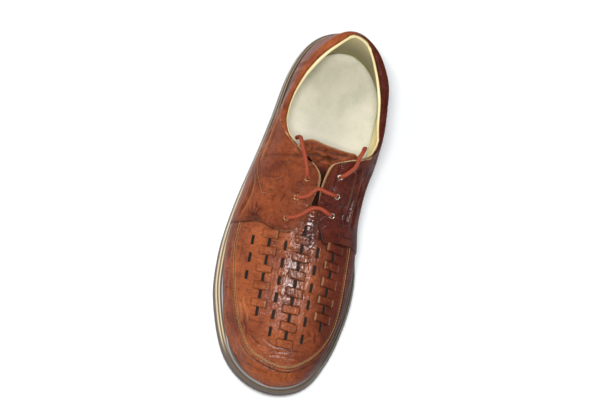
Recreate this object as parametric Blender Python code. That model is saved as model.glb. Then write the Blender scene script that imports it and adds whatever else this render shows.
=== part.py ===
"""Right leather derby shoe on a moulded unit sole, each piece a separate solid.

The toe points to -Y and the lateral side to -X, with +Z up and the sole standing on Z = 0.
All sizes below are millimetres, and MM turns them into metres when a mesh is made.
"""
import math

import bmesh
import bpy
import numpy as np

MM = 0.001
GAP = 0.4
MERGE_DISTANCE = 0.02
SLOPE_STEP = 0.5

# Sole sizes
SOLE_HALF_LENGTH = 151.0
BALL_TOP = 18.5
HEEL_TOP = 29.0
ARCH_RISE = 6.5
TOE_SPRING_UNDER = 9.5
TOE_SPRING_TOP = 8.5
SPRING_POWER = 1.8
SPRING_START = -85.0
ARCH_FRONT = (-22.0, 35.0)
ARCH_BACK = (60.0, 73.0)
TOP_CLIMB = (-65.0, 95.0)
RING_REFERENCE_WIDTH = 50.0
SOLE_STEPS = 46

# Upper sizes
UPPER_HALF_LENGTH = 146.2
UPPER_WALL = 2.4
RIDGE_X = 2.0
CREST_SQUARENESS = 2.2
TUCK_HEIGHT = 22.0
HEEL_LEAN = 15.0
LEAN_HEIGHTS = (32.0, 88.0)
LEAN_POWER = 1.3
HEEL_LEAN_SPAN = (55.0, 132.0)
WALL_STEPS = 12

# Insole, tongue, eyelet and lace sizes
INSOLE_THICKNESS = 3.6
INSOLE_CLEARANCE = 1.2
TONGUE_THICKNESS = 2.0
TONGUE_CLEARANCE = 1.0
TONGUE_START_Y = -21.0
TONGUE_TOP_Y = 34.5
TONGUE_TOP_SLANT = 0.07
TONGUE_CORNER = 3.0
TONGUE_CORNER_POWER = 6
TONGUE_FOOT_REACH = 15.0
TONGUE_SPREAD_LATERAL = 9.0
TONGUE_SPREAD_MEDIAL = 14.0
TONGUE_SPREAD_SPAN = (0.2, 0.9)
TONGUE_STEPS = (14, 12)
EYELET_SIDES = 16
LACE_DIAMETER = 3.4
LACE_CLEARANCE = 0.7
LACE_STEP_DIAMETERS = 2.0

# Sole outline: half-widths from the shoe's axis at its widest ring
SOLE_COLUMNS = ("y", "lateral", "medial")
SOLE_OUTLINE = (
    (-151.0, -1.0, 1.0),
    (-149.3, 11.0, 12.5),
    (-145.0, 21.5, 22.0),
    (-138.0, 31.2, 30.0),
    (-128.5, 39.6, 36.0),
    (-118.0, 45.6, 40.3),
    (-107.0, 50.4, 44.0),
    (-93.0, 55.3, 47.0),
    (-78.0, 59.4, 49.2),
    (-60.0, 61.6, 50.1),
    (-42.0, 62.2, 48.5),
    (-20.0, 60.6, 42.7),
    (3.0, 57.5, 37.4),
    (28.0, 52.9, 34.6),
    (54.0, 48.5, 36.2),
    (77.0, 45.4, 40.2),
    (98.0, 43.1, 41.7),
    (116.0, 39.2, 39.3),
    (129.0, 34.0, 33.5),
    (139.0, 27.3, 26.2),
    (147.0, 16.7, 16.0),
    (151.0, 0.0, 0.0),
)

# Sole side profile from the ground edge up: share of the height and distance in from the outline
RING_COLUMNS = ("height", "inset")
SOLE_RINGS = (
    (0.00, 4.2),
    (0.07, 1.3),
    (0.22, 0.0),
    (0.47, 0.7),
    (0.53, 1.9),
    (0.60, 1.1),
    (0.92, 2.0),
    (1.00, 3.0),
)
CAP_SHARES = (0.5, 0.0)

# Upper sections: belly half-widths, how far the foot of each wall tucks in, how far the lateral
# wall leans in at the height of the heel's rim, how square each shoulder is, and the crest's
# height above the sole
UPPER_COLUMNS = ("y", "lateral", "medial", "tuck_lateral", "tuck_medial", "lean_lateral",
                 "square_lateral", "square_medial", "rise")
UPPER_SECTIONS = (
    (-146.2, -2.0, 2.0, 0.0, 0.0, 0.0, 2.6, 2.6, 0.0),
    (-144.0, 8.2, 13.2, 0.6, 0.6, 0.0, 2.6, 2.6, 6.5),
    (-140.0, 17.6, 21.8, 1.0, 1.0, 0.0, 2.6, 2.6, 11.5),
    (-131.5, 27.0, 30.8, 1.3, 1.3, 0.0, 2.6, 2.6, 17.6),
    (-120.0, 36.0, 36.8, 1.5, 1.5, 0.0, 2.6, 2.6, 23.7),
    (-105.0, 44.5, 41.0, 1.5, 1.5, 0.0, 2.6, 2.6, 29.6),
    (-80.0, 53.0, 45.3, 1.6, 1.5, 0.0, 2.6, 2.6, 35.2),
    (-55.0, 58.0, 46.8, 1.6, 1.5, 0.0, 2.6, 2.6, 39.6),
    (-30.0, 59.2, 45.2, 1.6, 2.0, 0.0, 2.6, 2.6, 46.5),
    (-10.0, 57.7, 41.8, 1.6, 3.8, 0.0, 2.6, 2.8, 53.0),
    (10.0, 54.8, 40.0, 1.6, 6.4, 0.0, 2.6, 3.2, 59.5),
    (28.0, 51.5, 41.2, 1.6, 8.8, 0.0, 2.7, 4.2, 65.0),
    (42.0, 48.4, 43.0, 1.6, 9.8, 0.2, 2.8, 4.8, 72.0),
    (56.0, 45.4, 43.7, 1.6, 9.6, 1.0, 2.7, 3.8, 94.0),
    (72.0, 42.3, 42.7, 1.6, 7.0, 2.4, 2.6, 2.9, 110.0),
    (90.0, 39.6, 40.6, 1.6, 3.6, 4.2, 2.6, 2.6, 117.0),
    (108.0, 37.0, 38.0, 1.6, 2.2, 6.0, 2.6, 2.6, 119.0),
    (122.0, 32.2, 32.8, 1.5, 1.8, 7.0, 2.6, 2.6, 120.0),
    (134.0, 24.5, 25.0, 1.2, 1.3, 6.4, 2.6, 2.6, 121.0),
    (142.0, 13.8, 15.0, 0.8, 0.8, 3.8, 2.6, 2.6, 121.0),
    (146.2, -2.0, 2.0, 0.0, 0.0, 0.0, 2.6, 2.6, 121.0),
)

# Facing edges: distance from the ridge line on each side, from the foot of the throat to the collar
THROAT_COLUMNS = ("y", "lateral", "medial")
THROAT_EDGES = (
    (-23.0, 0.0, 0.0),
    (-17.0, 1.7, 1.7),
    (8.0, 1.7, 1.7),
    (17.0, 4.0, 2.4),
    (22.0, 9.5, 3.6),
    (26.0, 14.8, 6.0),
    (30.0, 19.0, 13.0),
    (34.0, 23.5, 26.0),
    (38.0, 28.0, 34.0),
    (44.0, 34.0, 37.5),
    (52.0, 40.0, 39.5),
)

# Collar rim height along the opening, on each side
COLLAR_COLUMNS = ("y", "lateral", "medial")
COLLAR_RIM = (
    (34.0, 88.0, 84.0),
    (42.0, 84.0, 80.0),
    (52.0, 80.0, 77.5),
    (64.0, 77.0, 76.0),
    (82.0, 75.5, 75.5),
    (102.0, 76.5, 76.5),
    (122.0, 80.0, 80.0),
    (136.0, 83.0, 83.0),
    (146.2, 84.0, 84.0),
)
THROAT_TO_COLLAR = {"lateral": (40.0, 52.0), "medial": (32.0, 42.0)}

# Upper stations: stretches from toe to heel, with the number of steps in each
UPPER_STRETCHES = ((-146.2, 0), (-23.0, 17), (12.0, 6), (54.0, 15), (146.2, 17))

# Eyelet section, turned about its middle: radius and height
EYELET_PROFILE = ((2.6, 0.0), (2.3, 0.55), (2.0, 0.9), (1.4, 0.45), (1.4, 0.0))

# Eyelet places in plan
EYELETS = {
    "eyelet_lateral_top": (-9.0, 9.5),
    "eyelet_lateral_middle": (-13.5, -5.5),
    "eyelet_lateral_lower": (-17.5, -21.5),
    "eyelet_medial_top": (15.6, 16.0),
    "eyelet_medial_middle": (16.8, 2.0),
    "eyelet_medial_lower": (16.4, -12.5),
}

# Lace bars in plan, each lying over the facings from eyelet to eyelet
LACE_BARS = {
    "lace_bar_middle": ((-9.9, -4.4), (-4.0, -1.2), (1.2, 4.2), (6.6, 3.6), (12.8, 2.7)),
    "lace_bar_lower": ((-13.9, -20.4), (-6.5, -16.4), (1.5, -10.0), (7.5, -9.6), (12.7, -11.5)),
}

# Lace ends: plan points lying on the facing, then free points down into the shoe
LACE_END_ON_FACING = {
    "lace_end_lateral": ((-9.6, 13.2), (-11.4, 18.5), (-14.4, 25.0)),
    "lace_end_medial": ((18.2, 18.6), (21.6, 22.6), (24.4, 27.0)),
}
LACE_END_FREE = {
    "lace_end_lateral": ((-18.2, 30.6, 92.6), (-20.4, 35.2, 92.4), (-21.6, 39.2, 86.8), (-22.8, 41.2, 79.5),
                         (-24.0, 42.4, 71.5)),
    "lace_end_medial": ((26.4, 31.8, 91.5), (28.0, 37.0, 92.5), (29.4, 42.0, 87.0), (29.9, 44.8, 78.5),
                        (29.6, 46.5, 69.0)),
}

# Materials: base colour, roughness and metallic value
FINISHES = {
    "brown_leather": ((0.235, 0.068, 0.026), 0.38, 0.0),
    "taupe_rubber": ((0.105, 0.078, 0.062), 0.55, 0.0),
    "cream_lining": ((0.56, 0.54, 0.44), 0.75, 0.0),
    "nickel": ((0.72, 0.71, 0.69), 0.3, 1.0),
    "rust_cord": ((0.25, 0.045, 0.018), 0.7, 0.0),
}


def clear_scene():
    """Remove every object from the scene."""
    for item in list(bpy.data.objects):
        bpy.data.objects.remove(item, do_unlink=True)


def finish(name):
    """Principled material of one finish, made once."""
    if name in bpy.data.materials:
        return bpy.data.materials[name]
    colour, roughness, metallic = FINISHES[name]
    material = bpy.data.materials.new(name)
    material.use_nodes = True
    shader = material.node_tree.nodes["Principled BSDF"]
    shader.inputs["Base Color"].default_value = (*colour, 1.0)
    shader.inputs["Roughness"].default_value = roughness
    shader.inputs["Metallic"].default_value = metallic
    return material


def ease(span, at):
    """Smooth step from 0 at the span's start to 1 at its end."""
    share = np.clip((np.asarray(at, float) - span[0]) / (span[1] - span[0]), 0.0, 1.0)
    return share * share * (3.0 - 2.0 * share)


def spline(knots, values, at):
    """Natural cubic spline through the knots."""
    knots = np.asarray(knots, float)
    values = np.asarray(values, float)
    step = np.diff(knots)
    slope = np.diff(values) / step
    system = np.eye(len(knots))
    change = np.zeros(len(knots))
    for i in range(1, len(knots) - 1):
        system[i, i - 1:i + 2] = step[i - 1], 2.0 * (step[i - 1] + step[i]), step[i]
        change[i] = 6.0 * (slope[i] - slope[i - 1])
    bend = np.linalg.solve(system, change)
    k = np.clip(np.searchsorted(knots, at) - 1, 0, len(step) - 1)
    after = (at - knots[k]) / step[k]
    before = 1.0 - after
    curve = (before ** 3 - before) * bend[k] + (after ** 3 - after) * bend[k + 1]
    return before * values[k] + after * values[k + 1] + curve * step[k] ** 2 / 6.0


def column(rows, names, name):
    """One named column of a table."""
    return np.array([row[names.index(name)] for row in rows], float)


def station_angle(y, half_length):
    """Angle from the toe end, so that rounded ends are sampled evenly."""
    return np.arccos(np.clip(-np.asarray(y, float) / half_length, -1.0, 1.0))


def rounded(rows, names, name, y, half_length):
    """Read a column at y by a spline over the station angle."""
    knots = station_angle(column(rows, names, "y"), half_length)
    return spline(knots, column(rows, names, name), station_angle(y, half_length))


def toe_spring(y, amount):
    """Lift of the toe end, growing from the start of the spring to the tip."""
    reach = np.clip((SPRING_START - np.asarray(y, float)) / (SPRING_START + SOLE_HALF_LENGTH), 0.0, 1.0)
    return amount * reach ** SPRING_POWER


def sole_under(y):
    """Underside height: flat heel, raised arch, flat forefoot and toe spring."""
    arch = ARCH_RISE * (ease(ARCH_FRONT, y) - ease(ARCH_BACK, y))
    return arch + toe_spring(y, TOE_SPRING_UNDER)


def sole_top(y):
    """Top height, climbing from the ball to the heel, with the toe lifted."""
    return BALL_TOP + (HEEL_TOP - BALL_TOP) * ease(TOP_CLIMB, y) + toe_spring(y, TOE_SPRING_TOP)


def side_name(side):
    """Name of a side: -1 is lateral, 1 is medial."""
    return "lateral" if side < 0 else "medial"


def section(name, y):
    """One column of the upper's sections at y."""
    return rounded(UPPER_SECTIONS, UPPER_COLUMNS, name, y, UPPER_HALF_LENGTH)


def half_width(side, y):
    """Signed distance of the upper's belly from the axis on one side."""
    return side * section(side_name(side), y)


def squareness(side, y):
    """Power of the arch across the shoe: larger is squarer at the shoulder."""
    return section("square_" + side_name(side), y)


def upper_point(side, y, angle):
    """Outer surface of the upper: an arch from the foot of one wall (angle 0) to the crest (90 degrees)."""
    reach = half_width(side, y) - RIDGE_X
    x = RIDGE_X + reach * np.cos(angle) ** (2.0 / squareness(side, y))
    foot = sole_top(y) + GAP
    z = foot + section("rise", y) * np.sin(angle) ** (2.0 / CREST_SQUARENESS)
    tuck = section("tuck_" + side_name(side), y)
    x = x - side * tuck * np.cos(angle) * np.clip(1.0 - (z - foot) / TUCK_HEIGHT, 0.0, 1.0) ** 2
    lean = np.clip((z - LEAN_HEIGHTS[0]) / (LEAN_HEIGHTS[1] - LEAN_HEIGHTS[0]), 0.0, None) ** LEAN_POWER
    if side < 0:
        x = x + lean * section("lean_lateral", y)
    return np.stack((x, y - HEEL_LEAN * lean * ease(HEEL_LEAN_SPAN, y), z), axis=-1)


def instep_height(x, y):
    """Height of the upper's outer surface over a place in plan, on the vamp and instep."""
    lateral = x < RIDGE_X
    reach = np.where(lateral, half_width(-1, y), half_width(1, y)) - RIDGE_X
    share = np.clip((x - RIDGE_X) / reach, 0.0, 1.0)
    power = np.where(lateral, squareness(-1, y), squareness(1, y))
    arch = (1.0 - share ** power) ** (1.0 / CREST_SQUARENESS)
    return sole_top(y) + GAP + section("rise", y) * arch


def instep_normal(x, y):
    """Outward normal of the instep surface, from differences of its height."""
    step = SLOPE_STEP
    slope_x = (instep_height(x + step, y) - instep_height(x - step, y)) / (2.0 * step)
    slope_y = (instep_height(x, y + step) - instep_height(x, y - step)) / (2.0 * step)
    normal = np.stack((-slope_x, -slope_y, np.ones_like(slope_x)), axis=-1)
    return normal / np.linalg.norm(normal, axis=-1, keepdims=True)


def over_instep(plan, lift):
    """Points at a set distance above the instep surface, over places in plan."""
    plan = np.asarray(plan, float)
    x, y = plan[..., 0], plan[..., 1]
    base = np.stack((x, y, instep_height(x, y)), axis=-1)
    return base + lift * instep_normal(x, y)


def top_angle(side, y):
    """Angle at which a wall ends: the crest on the vamp, the facing edge, then the collar rim."""
    name = side_name(side)
    throat_y = column(THROAT_EDGES, THROAT_COLUMNS, "y")
    gap = np.interp(y, throat_y, column(THROAT_EDGES, THROAT_COLUMNS, name))
    reach = np.maximum(np.abs(half_width(side, y) - RIDGE_X), gap + GAP)
    facing = np.arccos((gap / reach) ** (squareness(side, y) / 2.0))
    rim = np.interp(y, column(COLLAR_RIM, COLLAR_COLUMNS, "y"), column(COLLAR_RIM, COLLAR_COLUMNS, name))
    foot = sole_top(y) + GAP
    height = (rim - foot) / np.maximum(section("rise", y), rim - foot)
    collar = np.arcsin(height ** (CREST_SQUARENESS / 2.0))
    share = ease(THROAT_TO_COLLAR[name], y)
    return np.where(y <= throat_y[0], math.pi / 2.0, (1.0 - share) * facing + share * collar)


def upper_stations():
    """Station places along the upper, evenly spread by angle inside each stretch."""
    angles = station_angle([stretch[0] for stretch in UPPER_STRETCHES], UPPER_HALF_LENGTH)
    parts = [np.linspace(angles[i], angles[i + 1], UPPER_STRETCHES[i + 1][1] + 1)[:-1]
             for i in range(len(angles) - 1)]
    return -UPPER_HALF_LENGTH * np.cos(np.append(np.concatenate(parts), math.pi))


def sole_ring(inset):
    """Sole outline drawn in by an inset: lateral and medial points at each station."""
    y = -SOLE_HALF_LENGTH * np.cos(np.linspace(0.0, math.pi, SOLE_STEPS + 1))
    shrink = 1.0 - inset / RING_REFERENCE_WIDTH
    lateral = -rounded(SOLE_OUTLINE, SOLE_COLUMNS, "lateral", y, SOLE_HALF_LENGTH) * shrink
    medial = rounded(SOLE_OUTLINE, SOLE_COLUMNS, "medial", y, SOLE_HALF_LENGTH) * shrink
    return lateral, medial, y * (1.0 - inset / SOLE_HALF_LENGTH)


def frame_shift():
    """Sideways move that centres the sole's box on the origin."""
    lateral, medial, _ = sole_ring(0.0)
    return -(lateral.min() + medial.max()) / 2.0


SHIFT_X = frame_shift()


def to_world(points):
    """Shoe millimetres to world metres."""
    return (np.asarray(points, float) + (SHIFT_X, 0.0, 0.0)) * MM


def grid_faces(rows, columns, start=0, flip=False):
    """Quads of a grid of points numbered row by row."""
    faces = []
    for i in range(rows - 1):
        for j in range(columns - 1):
            a = start + i * columns + j
            quad = (a, a + 1, a + columns + 1, a + columns)
            faces.append(quad[::-1] if flip else quad)
    return faces


def mesh_object(name, points, faces, finish_name):
    """Object from points in shoe millimetres, with coinciding points merged and faces pointing out."""
    mesh = bpy.data.meshes.new(name)
    mesh.from_pydata(to_world(points).tolist(), [], faces)
    work = bmesh.new()
    work.from_mesh(mesh)
    bmesh.ops.remove_doubles(work, verts=work.verts, dist=MERGE_DISTANCE * MM)
    bmesh.ops.recalc_face_normals(work, faces=work.faces)
    work.to_mesh(mesh)
    work.free()
    mesh.shade_smooth()
    mesh.materials.append(finish(finish_name))
    item = bpy.data.objects.new(name, mesh)
    bpy.context.scene.collection.objects.link(item)
    return item


def loft(name, loops, finish_name):
    """Closed solid through closed loops, one for each station."""
    stations, sides = len(loops), len(loops[0])
    points = np.concatenate([np.vstack((loop, loop[:1])) for loop in loops])
    return mesh_object(name, points, grid_faces(stations, sides + 1), finish_name)


def section_loops(rings):
    """Loops across a flat piece from its rings (lateral, medial, y, z), listed from bottom to top."""
    bottom, top = rings[0], rings[-1]

    def cap(ring, shares, side):
        middle = (ring[0] + ring[1]) / 2.0
        edge = ring[side]
        return [np.stack((middle + (edge - middle) * share, ring[2], ring[3]), -1) for share in shares]

    def wall(side):
        return [np.stack((ring[side], ring[2], ring[3]), -1) for ring in rings]

    inward = CAP_SHARES
    outward = CAP_SHARES[:-1][::-1]
    path = cap(bottom, outward, 0) + wall(0) + cap(top, inward, 0)
    path += cap(top, outward, 1) + wall(1)[::-1] + cap(bottom, inward, 1)
    return np.stack(path, axis=1)


def build_outsole():
    """Unit sole: rings of the outline, flat where heel and forefoot stand."""
    rings = []
    heights = column(SOLE_RINGS, RING_COLUMNS, "height")
    for height, inset in zip(heights, column(SOLE_RINGS, RING_COLUMNS, "inset")):
        lateral, medial, y = sole_ring(inset)
        under = sole_under(y)
        rings.append((lateral, medial, y, under + (sole_top(y) - under) * height))
    return loft("outsole", section_loops(rings), "taupe_rubber")


def build_upper():
    """Hollow upper: both walls as one sheet, thickened inwards."""
    y = upper_stations()
    steps = np.linspace(0.0, 1.0, WALL_STEPS + 1)
    points = []
    faces = []
    for side in (-1, 1):
        angle = top_angle(side, y)[:, None] * steps[None, :]
        wall = upper_point(side, np.repeat(y[:, None], len(steps), axis=1), angle)
        start = len(points) * len(y) * len(steps)
        points.append(wall.reshape(-1, 3))
        faces += grid_faces(len(y), len(steps), start, flip=side > 0)
    item = mesh_object("upper", np.concatenate(points), faces, "brown_leather")
    thick = item.modifiers.new("leather_wall", "SOLIDIFY")
    thick.thickness = UPPER_WALL * MM
    thick.offset = -1.0
    thick.use_even_offset = True
    return item


def build_insole():
    """Footbed inside the foot of the wall, following the sole's top."""
    y = upper_stations()
    feet = [upper_point(side, y, np.zeros_like(y)) for side in (-1, 1)]
    rim = np.vstack((feet[0], feet[1][-2:0:-1]))[:, :2]
    tangent = np.roll(rim, -1, axis=0) - np.roll(rim, 1, axis=0)
    tangent /= np.linalg.norm(tangent, axis=1, keepdims=True)
    inward = np.stack((tangent[:, 1], -tangent[:, 0]), axis=-1)
    inward *= np.sign(np.sum(inward * -rim))
    edge = rim + inward * (UPPER_WALL + INSOLE_CLEARANCE)
    lateral = edge[:len(y)]
    medial = np.vstack((edge[:1], edge[:len(y) - 1:-1], edge[len(y) - 1:len(y)]))
    middle_y = (lateral[:, 1] + medial[:, 1]) / 2.0
    rings = [(lateral[:, 0], medial[:, 0], middle_y, sole_top(middle_y) + level)
             for level in (GAP, GAP + INSOLE_THICKNESS)]
    return loft("insole", section_loops(rings), "cream_lining")


def build_tongue():
    """Curved flap that follows the instep from inside and shows above the facings."""
    along = np.linspace(0.0, 1.0, TONGUE_STEPS[0] + 1)[:, None]
    across = np.linspace(-1.0, 1.0, TONGUE_STEPS[1] + 1)[None, :]
    spread = np.where(across < 0.0, TONGUE_SPREAD_LATERAL, TONGUE_SPREAD_MEDIAL)
    x = RIDGE_X + across * (TONGUE_FOOT_REACH + spread * ease(TONGUE_SPREAD_SPAN, along))
    top_y = TONGUE_TOP_Y - TONGUE_TOP_SLANT * x - TONGUE_CORNER * np.abs(across) ** TONGUE_CORNER_POWER
    y = TONGUE_START_Y + (top_y - TONGUE_START_Y) * along
    points = over_instep(np.stack((x, y), axis=-1), -(UPPER_WALL + TONGUE_CLEARANCE)).reshape(-1, 3)
    rows, columns = TONGUE_STEPS[0] + 1, TONGUE_STEPS[1] + 1
    item = mesh_object("tongue", points, grid_faces(rows, columns), "brown_leather")
    thick = item.modifiers.new("tongue_wall", "SOLIDIFY")
    thick.thickness = TONGUE_THICKNESS * MM
    thick.offset = -1.0
    return item


def build_eyelet(name, place):
    """Small turned ring lying on the facing."""
    centre = over_instep(place, GAP)
    normal = instep_normal(np.float64(place[0]), np.float64(place[1]))
    first = np.cross(normal, (0.0, 1.0, 0.0))
    first /= np.linalg.norm(first)
    second = np.cross(normal, first)
    turn = np.linspace(0.0, 2.0 * math.pi, EYELET_SIDES + 1)
    spoke = np.cos(turn)[:, None] * first + np.sin(turn)[:, None] * second
    loops = [[centre + arm * radius + normal * height for radius, height in EYELET_PROFILE] for arm in spoke]
    return loft(name, np.array(loops), "nickel")


def cord(name, route):
    """Round cord on a smooth curve through the route's points."""
    route = np.asarray(route, float)
    travel = np.append(0.0, np.cumsum(np.linalg.norm(np.diff(route, axis=0), axis=1)))
    count = max(4, int(round(travel[-1] / (LACE_STEP_DIAMETERS * LACE_DIAMETER))) + 1)
    at = np.linspace(0.0, travel[-1], count)
    points = to_world(np.stack([spline(travel, route[:, axis], at) for axis in range(3)], axis=-1))
    curve = bpy.data.curves.new(name, "CURVE")
    curve.dimensions = "3D"
    curve.bevel_depth = LACE_DIAMETER * MM / 2.0
    curve.bevel_resolution = 2
    curve.use_fill_caps = True
    path = curve.splines.new("POLY")
    path.points.add(len(points) - 1)
    for point, place in zip(path.points, points):
        point.co = (*place, 1.0)
    curve.materials.append(finish("rust_cord"))
    item = bpy.data.objects.new(name, curve)
    bpy.context.scene.collection.objects.link(item)
    return item


def build_laces():
    """Bars across the facings, and the two ends that go over the edge into the shoe."""
    lift = LACE_DIAMETER / 2.0 + LACE_CLEARANCE
    for name, plan in LACE_BARS.items():
        cord(name, over_instep(plan, lift))
    for name, plan in LACE_END_ON_FACING.items():
        cord(name, np.vstack((over_instep(plan, lift), LACE_END_FREE[name])))


clear_scene()
build_outsole()
build_upper()
build_insole()
build_tongue()
for eyelet_name, eyelet_place in EYELETS.items():
    build_eyelet(eyelet_name, eyelet_place)
build_laces()
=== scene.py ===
"""Right leather derby with a woven apron on a moulded unit sole: its finished surfaces.

The toe points to -Y and the lateral side to -X. Sizes are millimetres in the shoe's own frame,
and to_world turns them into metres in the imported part's frame.
"""
import math

import bmesh
import bpy
import numpy as np
from mathutils import Matrix, Vector


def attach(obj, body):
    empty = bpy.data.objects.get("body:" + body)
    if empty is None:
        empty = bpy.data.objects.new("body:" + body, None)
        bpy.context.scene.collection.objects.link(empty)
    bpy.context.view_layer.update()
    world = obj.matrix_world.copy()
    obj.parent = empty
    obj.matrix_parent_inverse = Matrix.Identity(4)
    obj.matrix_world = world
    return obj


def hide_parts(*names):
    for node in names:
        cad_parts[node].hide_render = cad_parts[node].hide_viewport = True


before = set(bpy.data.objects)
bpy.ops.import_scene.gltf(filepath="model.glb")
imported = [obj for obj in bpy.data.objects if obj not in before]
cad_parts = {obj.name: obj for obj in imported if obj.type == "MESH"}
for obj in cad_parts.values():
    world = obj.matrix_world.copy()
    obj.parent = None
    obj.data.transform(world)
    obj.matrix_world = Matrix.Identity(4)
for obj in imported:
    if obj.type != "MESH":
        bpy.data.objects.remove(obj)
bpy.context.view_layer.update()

MM = 0.001

# Sole sizes
SOLE_HALF_LENGTH = 151.0
BALL_TOP = 18.5
HEEL_TOP = 29.0
ARCH_RISE = 6.5
TOE_SPRING_UNDER = 9.5
TOE_SPRING_TOP = 8.5
SPRING_POWER = 1.8
SPRING_START = -85.0
ARCH_FRONT = (-22.0, 35.0)
ARCH_BACK = (60.0, 73.0)
TOP_CLIMB = (-65.0, 95.0)
RING_REFERENCE_WIDTH = 50.0

# Upper sizes
GAP = 0.4
UPPER_HALF_LENGTH = 146.2
RIDGE_X = 2.0
CREST_SQUARENESS = 2.2
TUCK_HEIGHT = 22.0
HEEL_LEAN = 15.0
LEAN_HEIGHTS = (32.0, 88.0)
LEAN_POWER = 1.3
HEEL_LEAN_SPAN = (55.0, 132.0)
EVEN_SPREAD = 1.3

# Leather sizes
VAMP_LEATHER_THICKNESS = 1.2
QUARTER_LEATHER_THICKNESS = 1.0
QUARTER_LIFT = 0.5
VAMP_DROP = 1.1
VAMP_DROP_SPAN = 13.0
LINING_DEPTH = 1.5
LINING_THICKNESS = 0.9
LINING_SETBACK = 2.5
SOCK_HEIGHT = 3.7
SOCK_LIP = 1.5

# Sole outline: half-widths from the shoe's axis at its widest ring
SOLE_COLUMNS = ("y", "lateral", "medial")
SOLE_OUTLINE = (
    (-151.0, -1.0, 1.0),
    (-149.3, 11.0, 12.5),
    (-145.0, 21.5, 22.0),
    (-138.0, 31.2, 30.0),
    (-128.5, 39.6, 36.0),
    (-118.0, 45.6, 40.3),
    (-107.0, 50.4, 44.0),
    (-93.0, 55.3, 47.0),
    (-78.0, 59.4, 49.2),
    (-60.0, 61.6, 50.1),
    (-42.0, 62.2, 48.5),
    (-20.0, 60.6, 42.7),
    (3.0, 57.5, 37.4),
    (28.0, 52.9, 34.6),
    (54.0, 48.5, 36.2),
    (77.0, 45.4, 40.2),
    (98.0, 43.1, 41.7),
    (116.0, 39.2, 39.3),
    (129.0, 34.0, 33.5),
    (139.0, 27.3, 26.2),
    (147.0, 16.7, 16.0),
    (151.0, 0.0, 0.0),
)

# Upper sections: belly half-widths, tuck at the foot of each wall, lateral lean at the rim,
# squareness of each shoulder, and the crest's height above the sole
UPPER_COLUMNS = ("y", "lateral", "medial", "tuck_lateral", "tuck_medial", "lean_lateral",
                 "square_lateral", "square_medial", "rise")
UPPER_SECTIONS = (
    (-146.2, -2.0, 2.0, 0.0, 0.0, 0.0, 2.6, 2.6, 0.0),
    (-144.0, 8.2, 13.2, 0.6, 0.6, 0.0, 2.6, 2.6, 6.5),
    (-140.0, 17.6, 21.8, 1.0, 1.0, 0.0, 2.6, 2.6, 11.5),
    (-131.5, 27.0, 30.8, 1.3, 1.3, 0.0, 2.6, 2.6, 17.6),
    (-120.0, 36.0, 36.8, 1.5, 1.5, 0.0, 2.6, 2.6, 23.7),
    (-105.0, 44.5, 41.0, 1.5, 1.5, 0.0, 2.6, 2.6, 29.6),
    (-80.0, 53.0, 45.3, 1.6, 1.5, 0.0, 2.6, 2.6, 35.2),
    (-55.0, 58.0, 46.8, 1.6, 1.5, 0.0, 2.6, 2.6, 39.6),
    (-30.0, 59.2, 45.2, 1.6, 2.0, 0.0, 2.6, 2.6, 46.5),
    (-10.0, 57.7, 41.8, 1.6, 3.8, 0.0, 2.6, 2.8, 53.0),
    (10.0, 54.8, 40.0, 1.6, 6.4, 0.0, 2.6, 3.2, 59.5),
    (28.0, 51.5, 41.2, 1.6, 8.8, 0.0, 2.7, 4.2, 65.0),
    (42.0, 48.4, 43.0, 1.6, 9.8, 0.2, 2.8, 4.8, 72.0),
    (56.0, 45.4, 43.7, 1.6, 9.6, 1.0, 2.7, 3.8, 94.0),
    (72.0, 42.3, 42.7, 1.6, 7.0, 2.4, 2.6, 2.9, 110.0),
    (90.0, 39.6, 40.6, 1.6, 3.6, 4.2, 2.6, 2.6, 117.0),
    (108.0, 37.0, 38.0, 1.6, 2.2, 6.0, 2.6, 2.6, 119.0),
    (122.0, 32.2, 32.8, 1.5, 1.8, 7.0, 2.6, 2.6, 120.0),
    (134.0, 24.5, 25.0, 1.2, 1.3, 6.4, 2.6, 2.6, 121.0),
    (142.0, 13.8, 15.0, 0.8, 0.8, 3.8, 2.6, 2.6, 121.0),
    (146.2, -2.0, 2.0, 0.0, 0.0, 0.0, 2.6, 2.6, 121.0),
)

# Facing edges behind the throat: distance from the ridge line on each side
FACING_COLUMNS = ("y", "gap")
FACING_EDGES = {
    -1: ((6.6, 0.4), (10.6, 0.4), (14.8, 1.7), (18.5, 5.0), (22.2, 10.3), (25.0, 14.9), (30.9, 23.4),
         (35.3, 28.4), (38.0, 32.0), (41.0, 34.8), (46.0, 38.0), (52.0, 40.0)),
    1: ((3.0, 0.8), (9.4, 1.3), (13.6, 1.9), (20.3, 3.2), (23.5, 4.9), (26.2, 9.4), (29.9, 20.6),
        (33.0, 28.0), (38.0, 34.0), (44.0, 37.5), (52.0, 39.5)),
}

# Collar rim height along the opening, on each side
COLLAR_COLUMNS = ("y", -1, 1)
COLLAR_RIM = (
    (34.0, 88.0, 84.0),
    (42.0, 84.0, 80.0),
    (52.0, 80.0, 77.5),
    (64.0, 77.0, 76.0),
    (82.0, 75.5, 75.5),
    (102.0, 76.5, 76.5),
    (122.0, 80.0, 80.0),
    (136.0, 83.0, 83.0),
    (146.2, 84.0, 84.0),
)
THROAT_TO_COLLAR = {-1: (40.0, 52.0), 1: (32.0, 42.0)}
EDGE_SMOOTHING = 3.5

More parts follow.
